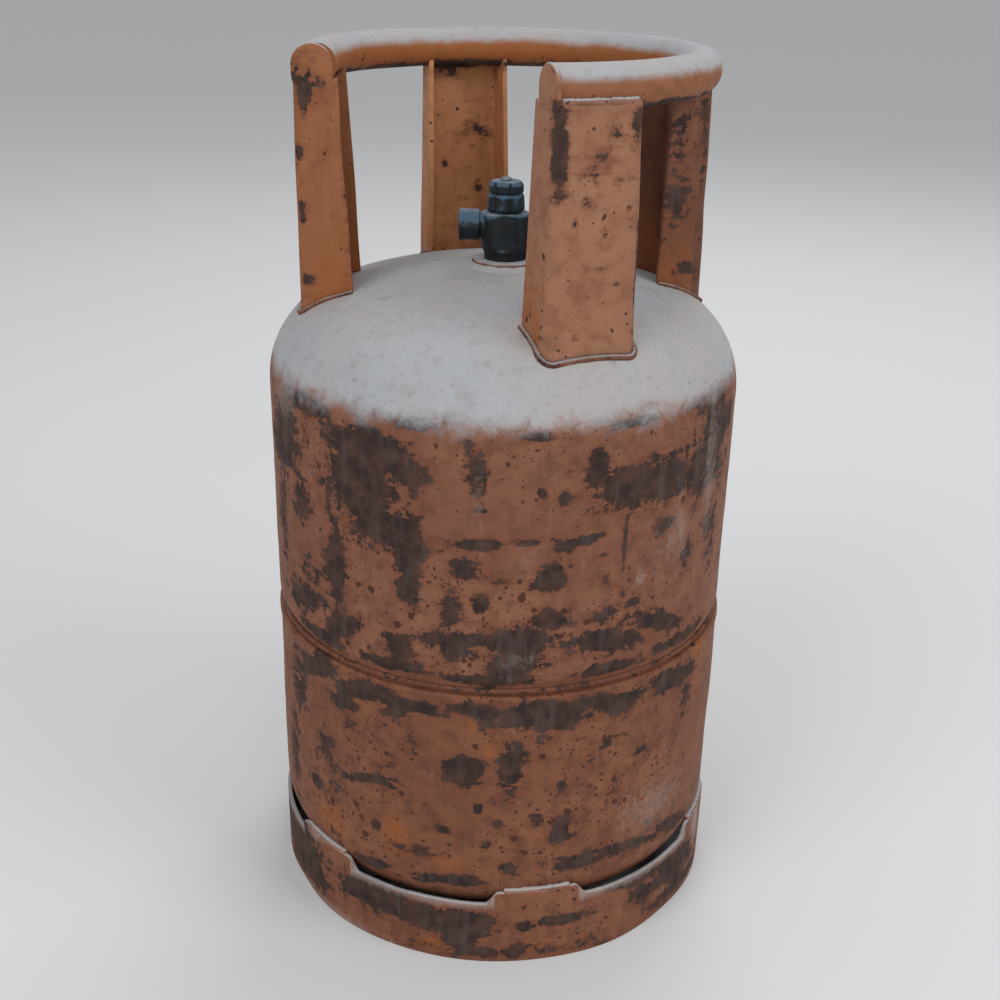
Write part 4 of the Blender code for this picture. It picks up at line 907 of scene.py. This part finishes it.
# Dust lies on the upper head only: clean keeps it off everything lower down
for piece, stains in ((upper_skin, UPPER_STAINS + behind_upper), (lower_skin, LOWER_STAINS_AND_SHADE + behind_lower)):
    _, azimuth, height = points_of(piece)
    store(piece, rust=stain_field(azimuth, height, stains), glow=stain_field(azimuth, height, GLOW_STAINS),
          haze=stain_field(azimuth, height, HAZE_STAINS), clean=1.3 * (height < DUST_FREE_BELOW))
store(girth, clean=np.full(len(girth.data.vertices), 0.75))
print("stains", len(UPPER_STAINS) + len(LOWER_STAINS_AND_SHADE))

# %% [markdown]
# The foot ring rusts where it is kicked and where dirt lies in its slots; dust gathers on the
# slots' edges. The posts rust along their folds. On the back post a band right under the tube and
# one at mid-height are painted shadow, and the right post's front flange is darkened as painted
# shade. Low on the posts' sides and on the tube's inner side, a warm orange is painted warm shade.
# The tube is rusty underneath.

# %% Stains of the foot ring and the guard
POST_GLOW_Z, POST_GLOW_FADE = 440 * MM, 90 * MM
FOOT_STAINS = [
    (-68, 41, 24, 23, 1.2), (-58, 22, 24, 14, 1.1), (-30, 38, 24, 12, -8, 1), (-14, 32, 38, 9, 1),
    (-8, 20, 11, 13, 0.9), (17, 32, 22, 4, 0.8), (9, 30, 13, 6, 0.65), (56, 30, 30, 17, 14, 0.7),
    (-40, 36, 11, 14, 0.6), (38, 44, 26, 5, 0.7), (-62, 30, 30, 22, 0.9), (40, 30, 16, 10, 0.6),
    (0, 8, 60, 5, 0.6), (60, 10, 40, 6, 0.7)]
FOOT_GLOW = [(-14, 11, 16, 6, 1), (10, 12, 18, 6, 0.8), (30, 14, 14, 6, 0.6), (140, 20, 24, 8, 0.9),
             (230, 16, 20, 8, 0.9)]
FOOT_HAZE = [(68, 46, 9, 18, 1.2), (-52, 56, 13, 5, -16, 0.9)]
POST_STAINS_AND_SHADE = {
    "front": [
        (-25, 538, 5, 24, 0.95), (-26, 560, 6, 6, 0.9), (23, 552, 5, 10, 0.8), (0, 533, 15, 14, 0.45),
        (9, 548, 12, 7, 0.52), (12, 520, 8, 5, 0.5), (-8, 512, 4, 5, 0.5), (2, 472, 12, 2, 0.5),
        (28, 470, 2, 60, 0.6), (0, 432, 34, 2, 0.5), (-14, 498, 2.5, 3, 0.8), (5, 492, 2, 2, 0.8),
        (-4, 455, 2, 2, 0.85), (14, 463, 3, 2, 0.8), (20, 505, 3, 6, 0.65)],
    "left": [
        (31, 556, 5, 14, 0.95), (28, 520, 3, 4, 0.95), (28, 486, 2.5, 4, 0.95), (29, 478, 2.5, 4, 0.95),
        (32, 440, 5, 4, 0.9), (58, 500, 3, 60, 0.6), (40, 560, 8, 4, 0.6)],
    "right": [
        # The two tall rows darken the right post's flange that faces the front: painted shade.
        (-50, 500, 18, 70, 0.6), (-30, 520, 5, 50, 0.6), (-40, 440, 14, 6, 0.8)],
    "back": [
        # The first two rows are painted shadow: a band right under the tube and a band at mid-height across
        # the web.
        (0, 560, 40, 6, 0.72), (0, 512, 30, 8, 0.45), (-14, 470, 3, 4, 0.8), (12, 490, 2, 3, 0.8)]}

points, azimuth, height = points_of(foot_skin)
in_slot = np.min(np.abs(turned_by(azimuth[:, None], TAB_MIDDLES[None, :])), axis=1) > TAB_HALF
ledge = np.clip((height - SLOT_LOW + 8 * MM) / (6 * MM), 0, 1.2) * in_slot
rim_scuff = np.exp(-(height / (9 * MM)) ** 2) * np.exp(-(turned_by(azimuth, -45) / 22) ** 2)
behind_foot = scattered(75, 26, (4, 50), (6, 26), 0.5)
store(foot_skin, rust=1.2 * stain_field(azimuth, height, FOOT_STAINS + behind_foot),
      glow=stain_field(azimuth, height, FOOT_GLOW),
      haze=np.maximum.reduce([0.9 * ledge, 0.8 * rim_scuff, stain_field(azimuth, height, FOOT_HAZE)]))

# On a post, the way across follows the folded sheet: over the web, then back along the sides
# On the posts the glow field is painted warm shade: the sides get a warm orange low down, near the dome.
for piece in post_pieces:
    points, _, height = points_of(piece)
    kind = piece.name.split("_")[-1]
    middle = math.radians(POSTS[kind])
    reach = points[:, 0] * math.sin(middle) - points[:, 1] * math.cos(middle)
    aside = points[:, 0] * math.cos(middle) + points[:, 1] * math.sin(middle)
    across = (aside + np.sign(aside) * np.maximum(POST_REACH - BEND / 2 - reach, 0)) / MM
    store(piece, rust=stain_field(across, height, POST_STAINS_AND_SHADE[kind], round_tank=False),
          glow=0.75 * (reach < POST_REACH - BEND)
          * np.clip(1 - (height - POST_GLOW_Z) / POST_GLOW_FADE, 0, 1))
# The glow on the tube's inner side is painted warm shade.
points, _, height = points_of(ring_piece)
store(ring_piece, glow=0.9 * np.clip((RING_RADIUS - np.hypot(points[:, 0], points[:, 1])) / (8 * MM), 0, 1),
      rust=0.66 * np.clip((RING_Z - 5 * MM - height) / (5 * MM), 0, 1))
print("stains", len(FOOT_STAINS) + sum(len(rows) for rows in POST_STAINS_AND_SHADE.values()))

# %% [markdown]
# The paint is a matt alkyd enamel, sprayed over steel that was barely cleaned. Sun has chalked
# it, so it scatters light like unglazed clay. Under it the steel rusts: first pin-head
# freckles, then patches that lift the film, brown-black in the middle. Dust settles on
# everything that faces up. Each layer is a mask with a colour, laid over the one before, and
# most of them also feed the height for the bump.

# %% Weathered paint
def weathered_paint(name, light, mid, deep, dust_from, dust_to, freckles=1.0, patches=0.0):
    """Chalked enamel over rusting steel. light, mid and deep are its sRGB tones; dust settles where the
    normal's upward part passes from dust_from to dust_to; patches adds rust where no field is stored."""
    finish, tree, shader = blank_finish(name, {"Specular IOR Level": 0.22})
    place = add(tree, "TexCoord", out=3)
    tall, flat_wise = (add(tree, "Mapping", {"Scale": (1, 1, squeeze)}, {"Vector": place})
                       for squeeze in (0.16, 5))
    field, glow, haze, clean = (add(tree, "Attribute:" + stored, out=2)
                                for stored in ("rust", "glow", "haze", "clean"))

    # Noises by scale, detail and roughness: clouds of 60 mm, smudges of 12 mm, run-off streaks 5 mm wide,
    # grain, level bands and crumbs
    broad, small, streak, fine, lines, crumbs = (
        add(tree, "TexNoise", {"Scale": scale, "Detail": detail, "Roughness": rough}, {"Vector": source})
        for scale, detail, rough, source in (
            (16, 4, 0.55, place), (85, 5, 0.6, place), (150, 3, 0.6, tall), (520, 3, 0.65, place),
            (42, 5, 0.6, flat_wise), (210, 6, 0.7, place)))
    ragged = add(tree, "TexNoise", {"Scale": 44, "Detail": 8, "Roughness": 0.72, "Distortion": 0.6},
                 {"Vector": place})

    # Masks cut from them: the limits, the values given at the limits, and the noise
    mottled, smudged, washed, rust_light, rust_grey, patchy, thin, thick, warm, spotted = (
        add(tree, "MapRange", {1: low, 2: high, 3: bottom, 4: top}, {0: source})
        for low, high, bottom, top, source in (
            (0.32, 0.68, 0, 1, broad), (0.46, 0.68, 0, 0.75, small), (0.58, 0.80, 0, 0.40, streak),
            (0.38, 0.64, 0, 1, small), (0.50, 0.70, 0, 0.6, streak), (0.35, 0.6, 0.35, 1, broad),
            (0.50, 0.72, 1, 0.82, small), (0.36, 0.56, 0, 1, broad), (0.42, 0.62, 0, 1, broad),
            (0.54, 0.70, 0, 0.35, crumbs)))

    # Rust: the stored field plus three noises, cut at a half. Its halo is the stained film round a patch, and
    # over large faint fields it is painted shade
    total = add(tree, "Math:MULTIPLY_ADD", {1: 1.7, 2: -0.85}, {0: ragged})
    for share, source in ((0.7, lines), (0.9, crumbs)):
        total = add(tree, "Math:MULTIPLY_ADD", {1: share}, {0: source, 2: total})
    total = add(tree, "Math:ADD", {}, {0: field, 1: total})
    total = add(tree, "Math:ADD", {1: patches - 0.78}, {0: total})
    rust, halo_and_shade = (add(tree, "MapRange:SMOOTHSTEP", {1: low, 2: high, 4: top}, {0: total})
                  for low, high, top in ((0.46, 0.53, 1), (0.16, 0.50, 0.7)))

    # The film: mottled by the sun, smudged, washed by rain, orange where it is fresh and where warm shade is
    # painted, brown round the rust and where shade is painted
    fresh_film_and_warm_shade = add(tree, "Math:MULTIPLY_ADD", {1: 0.9}, {0: small, 2: glow})
    fresh_film_and_warm_shade = add(tree, "MapRange", {1: 0.84, 2: 1.35, 4: 0.75}, {0: fresh_film_and_warm_shade})
    paint = add(tree, "Mix:RGBA", {6: tone(mid), 7: tone(light)}, {0: mottled}, 2)
    for mask, code in ((smudged, deep), (washed, "#9a7259"), (fresh_film_and_warm_shade, "#96572b"), (halo_and_shade, "#6f412c")):
        paint = add(tree, "Mix:RGBA", {7: tone(code)}, {0: mask, 6: paint}, 2)
    # Dark rust scale. Where a stored field is painted shade, this tone is the painted shade.
    scale_and_shade_tone = add(tree, "Mix:RGBA", {6: tone("#302523"), 7: tone("#503931")}, {0: rust_light}, 2)
    scale_and_shade_tone = add(tree, "Mix:RGBA", {7: tone("#514543")}, {0: rust_grey, 6: scale_and_shade_tone}, 2)
    colour = add(tree, "Mix:RGBA", {}, {0: rust, 6: paint, 7: scale_and_shade_tone}, 2)

    # Freckles: cells 8, 4 and 2 mm apart, of which about half hold a pit of their own size
    pits = None
    for scale, share, size in ((120, 0.55, 0.40), (230, 0.40, 0.38), (430, 0.35, 0.34)):
        sway = add(tree, "TexNoise", {"Scale": 90}, {"Vector": place}, 1)
        bent = add(tree, "Mix:VECTOR", {0: 0.006}, {4: place, 5: sway}, 1)
        distance = add(tree, "TexVoronoi", {"Scale": scale}, {"Vector": bent})
        chance = add(tree, "SeparateColor", {}, {0: distance.node.outputs["Color"]})
        room = add(tree, "MapRange", {1: share, 2: 1, 3: 0, 4: size * freckles}, {0: chance})
        room = add(tree, "Math:MULTIPLY", {}, {0: room, 1: patchy})
        depth = add(tree, "Math:SUBTRACT", {}, {0: room, 1: distance})
        spot = add(tree, "MapRange:SMOOTHSTEP", {1: -0.03, 2: 0.06}, {0: depth})
        pits = spot if pits is None else add(tree, "Math:MAXIMUM", {}, {0: pits, 1: spot})
    clear = add(tree, "Math:MULTIPLY_ADD", {1: -0.9, 2: 1}, {0: rust})
    pits = add(tree, "Math:MULTIPLY", {}, {0: pits, 1: clear})

    # Haze: pale chalk rubbed over paint and rust alike, in crumbs and streaks
    for share, source in ((0.5, streak), (1.3, crumbs)):
        haze = add(tree, "Math:MULTIPLY_ADD", {1: share}, {0: source, 2: haze})
    haze = add(tree, "MapRange", {1: 1.25, 2: 2.1, 4: 0.7}, {0: haze})
    for mask, code in ((pits, "#4b2c22"), (haze, "#a3948e")):
        colour = add(tree, "Mix:RGBA", {7: tone(code)}, {0: mask, 6: colour}, 2)

    # Dust: follows the normal's upward part, ragged at its edge, bluish and pinkish, darker over rust
    upward = add(tree, "SeparateXYZ", {}, {0: add(tree, "NewGeometry", out=1)}, 2)
    edge = add(tree, "Math:MULTIPLY_ADD", {1: 0.55, 2: -0.35}, {0: ragged})
    edge = add(tree, "Math:MULTIPLY_ADD", {1: 0.15}, {0: crumbs, 2: edge})
    level = add(tree, "Math:ADD", {}, {0: upward, 1: edge})
    level = add(tree, "Math:SUBTRACT", {}, {0: level, 1: clean})
    dust = add(tree, "MapRange:SMOOTHSTEP", {1: dust_from, 2: dust_to, 4: 0.97}, {0: level})
    dust = add(tree, "Math:MULTIPLY", {}, {0: dust, 1: add(tree, "Math:MAXIMUM", {}, {0: thin, 1: thick})})
    over_rust = add(tree, "Math:MULTIPLY", {1: 0.28}, {0: rust})
    dust_tone = add(tree, "Mix:RGBA", {6: tone("#a9acb0"), 7: tone("#aca8a7")}, {0: warm}, 2)
    for mask, code in ((spotted, "#7f8288"), (over_rust, "#6c6566")):
        dust_tone = add(tree, "Mix:RGBA", {7: tone(code)}, {0: mask, 6: dust_tone}, 2)
    colour = add(tree, "Mix:RGBA", {}, {0: dust, 6: colour, 7: dust_tone}, 2)
    tree.links.new(colour, shader.inputs["Base Color"])

    # Gloss: chalked paint is dull, rust duller and dust dullest; their pores trap most of the highlight
    gloss = add(tree, "Mix", {2: 0.58, 3: 0.82}, {0: rust})
    gloss = add(tree, "Math:MULTIPLY_ADD", {1: 0.16}, {0: small, 2: gloss})
    gloss = add(tree, "Mix", {3: 0.96}, {0: dust, 2: gloss})
    tree.links.new(gloss, shader.inputs["Roughness"])

    # Height in millimetres: the film's edge, rust scale, pits, grain and clouds
    height = add(tree, "Math:MULTIPLY", {1: -0.16}, {0: rust})
    scale_part = add(tree, "Math:MULTIPLY", {}, {0: rust, 1: small})
    for share, source in ((0.45, scale_part), (-0.30, pits), (0.16, fine), (0.30, small)):
        height = add(tree, "Math:MULTIPLY_ADD", {1: share}, {0: source, 2: height})
    bump = add(tree, "Bump", {"Strength": 0.8, "Distance": MM}, {"Height": height})
    tree.links.new(bump, shader.inputs["Normal"])
    return finish


def dress(finish, *pieces):
    """Give pieces or CAD nodes one material."""
    for piece in pieces:
        piece.data.materials.clear()
        piece.data.materials.append(finish)


# Tank, upper half: faded orange-brown under thick pale dust, the lightest and flattest paint
tank_paint = weathered_paint("chalked_enamel_tank", "#885b45", "#784d3a", "#623c2c", 0.13, 0.40)
dress(tank_paint, upper_skin)
# Lower half: a slightly deeper, warmer orange than the upper half's
low_paint = weathered_paint("chalked_enamel_lower_tank", "#83543c", "#734833", "#583528", 0.13, 0.38,
                            patches=0.01)
dress(low_paint, lower_skin)
# Foot: the same paint scuffed brown by floors, with dust only on its ledges
foot_paint = weathered_paint("scuffed_enamel_foot", "#86573f", "#774a36", "#5f3b2d", 0.35, 0.8, freckles=0.8)
dress(foot_paint, foot_skin)
# Posts: cleaner paint, rubbed smooth by hands, in a tone of its own for each post, as in the photograph. The
# tones are copies of one paint with painted light and shade: the right post's is darker as painted shade, the
# back post's lighter as painted light
POST_LIT_AND_SHADED_TONES = {"front": ("#9c6f57", "#8e624b", "#7d503a"), "left": ("#96603f", "#895536", "#78482c"),
              "right": ("#734d3c", "#634131", "#503225"), "back": ("#b98058", "#ab734c", "#94623f")}
for name, tones in POST_LIT_AND_SHADED_TONES.items():
    dress(weathered_paint("worn_enamel_post_" + name, *tones, 0.35, 0.8, freckles=0.6, patches=-0.07),
          *(piece for piece in post_pieces if piece.name.endswith(name)))
# Guard tube: a sharp border between the dusty top and the warm, shaded inner side
ring_paint = weathered_paint("dusty_enamel_guard_tube", "#94603f", "#87563b", "#764a33", 0.12, 0.6,
                             freckles=0.6)
dress(ring_paint, ring_piece)
# Weld beads: dark, rusty and dull, so that they read as lines drawn round the posts and the seam
weld_paint = weathered_paint("painted_weld", "#785041", "#5f3d30", "#452d25", 0.5, 1.1, patches=0.40)
# Beads on ledges and the bung: the same under a layer of dust, softer and paler
ledge_paint = weathered_paint("dusty_painted_weld", "#9a7160", "#85594a", "#5d4036", 0.30, 0.85, patches=0.12)
for piece in bpy.data.objects:
    if piece.name.startswith(("girth_bead", "foot_seam")):
        dress(weld_paint, piece)
    elif piece.name.startswith(("ring_seam", "foot_bead", "bung_boss", "bung_bead")):
        dress(ledge_paint, piece)
print("painted finishes", len(bpy.data.materials) - 1)

# %% [markdown]
# The valve's metal and plastic are both nearly black with a blue-green cast. Dust lies on
# their upper faces, and skin oil and weather left a soft, uneven gloss. One recipe serves the
# tarnished brass, the moulded plastic, the rubber and the bright inner pieces, with its own
# base, gloss, grain size and dust for each.

# %% Valve finishes
def plain_finish(name, dark, pale, roughness, metallic=0, grain=900, depth=0.02, dust=0, spots=None):
    """Two tones in clouds, fine grain in the bump, and dust where the surface faces up."""
    specular = 0.5 if metallic else 0.3
    finish, tree, shader = blank_finish(name, {"Metallic": metallic, "Specular IOR Level": specular})
    place = add(tree, "TexCoord", out=3)
    clouds, grains = (
        add(tree, "TexNoise", {"Scale": scale, "Detail": detail, "Roughness": 0.6}, {"Vector": place})
        for scale, detail in ((130, 5), (grain, 3)))
    cloudy = add(tree, "MapRange", {1: 0.38, 2: 0.66}, {0: clouds})
    colour = add(tree, "Mix:RGBA", {6: tone(dark), 7: tone(pale)}, {0: cloudy}, 2)
    if spots:
        spotted = add(tree, "MapRange", {1: 0.60, 2: 0.70, 4: 0.8}, {0: grains})
        colour = add(tree, "Mix:RGBA", {7: tone(spots)}, {0: spotted, 6: colour}, 2)

    # A thin blue-grey veil of dust on slopes, and a thick pale layer where the surface lies flat
    upward = add(tree, "SeparateXYZ", {}, {0: add(tree, "NewGeometry", out=1)}, 2)
    uneven = add(tree, "Math:MULTIPLY_ADD", {1: 1.3}, {0: clouds, 2: upward})
    veil, thick = (add(tree, "MapRange:SMOOTHSTEP", {1: low, 2: high, 4: dust}, {0: uneven})
                   for low, high in ((0.82, 1.02), (1.35, 1.75)))
    for mask, code in ((veil, "#4c6578"), (thick, "#848a92")):
        colour = add(tree, "Mix:RGBA", {7: tone(code)}, {0: mask, 6: colour}, 2)
    gloss = add(tree, "Math:MULTIPLY_ADD", {1: 0.25, 2: roughness - 0.12}, {0: clouds})
    gloss = add(tree, "Mix", {3: 0.95}, {0: veil, 2: gloss})
    height = add(tree, "Math:MULTIPLY", {}, {0: grains, 1: clouds})
    bump = add(tree, "Bump", {"Strength": 0.7, "Distance": depth * 4 * MM}, {"Height": height})
    for source, socket in ((colour, "Base Color"), (gloss, "Roughness"), (bump, "Normal")):
        tree.links.new(source, shader.inputs[socket])
    return finish


nodes = frame["nodes"]
# Valve body: brass gone black, with a coarse cast skin and a dull sheen under the dust
dress(plain_finish("tarnished_brass_forging", "#0c0f10", "#182127", 0.50, 0, 420, 0.06, 0.85, "#222c32"),
      *valve_pieces)
# Knob and cap: the same black, but smoother and bluer, so that edges catch a soft light
dress(plain_finish("weathered_moulded_plastic", "#0a0f11", "#13212a", 0.45, dust=0.85, spots="#1b2b35"),
      knob, cap)
# Inner brass: clean yellow metal with a turned gleam
dress(plain_finish("machined_brass", "#7d6a3c", "#a88f55", 0.35, 1, 1500, 0.01),
      nodes["gland_nut"], nodes["valve_spindle"], nodes["valve_plug"])
# Relief cap: brass that weather turned brown and dull
dress(plain_finish("dulled_brass_cap", "#332f26", "#574c36", 0.5, depth=0.03, dust=0.8), nodes["relief_cap"])
# Screw and spring: pale metal with a few rusty spots, dulled by thin dust
dress(plain_finish("zinc_plated_steel", "#77756f", "#9a9893", 0.38, 1, 1300, 0.01, 0.5, "#5d4a3f"),
      screw, coil)
# Seals: matt black that shows no highlight
dress(plain_finish("nitrile_rubber", "#161616", "#242424", 0.75),
      nodes["spindle_o_ring"], nodes["outlet_cap_washer"], nodes["relief_disc"])
# Seat disc: cream nylon with a waxy sheen
dress(plain_finish("cast_nylon", "#cfc9b8", "#ded9cb", 0.5, grain=800, depth=0.01), nodes["seat_disc"])
print("finishes", len(bpy.data.materials))
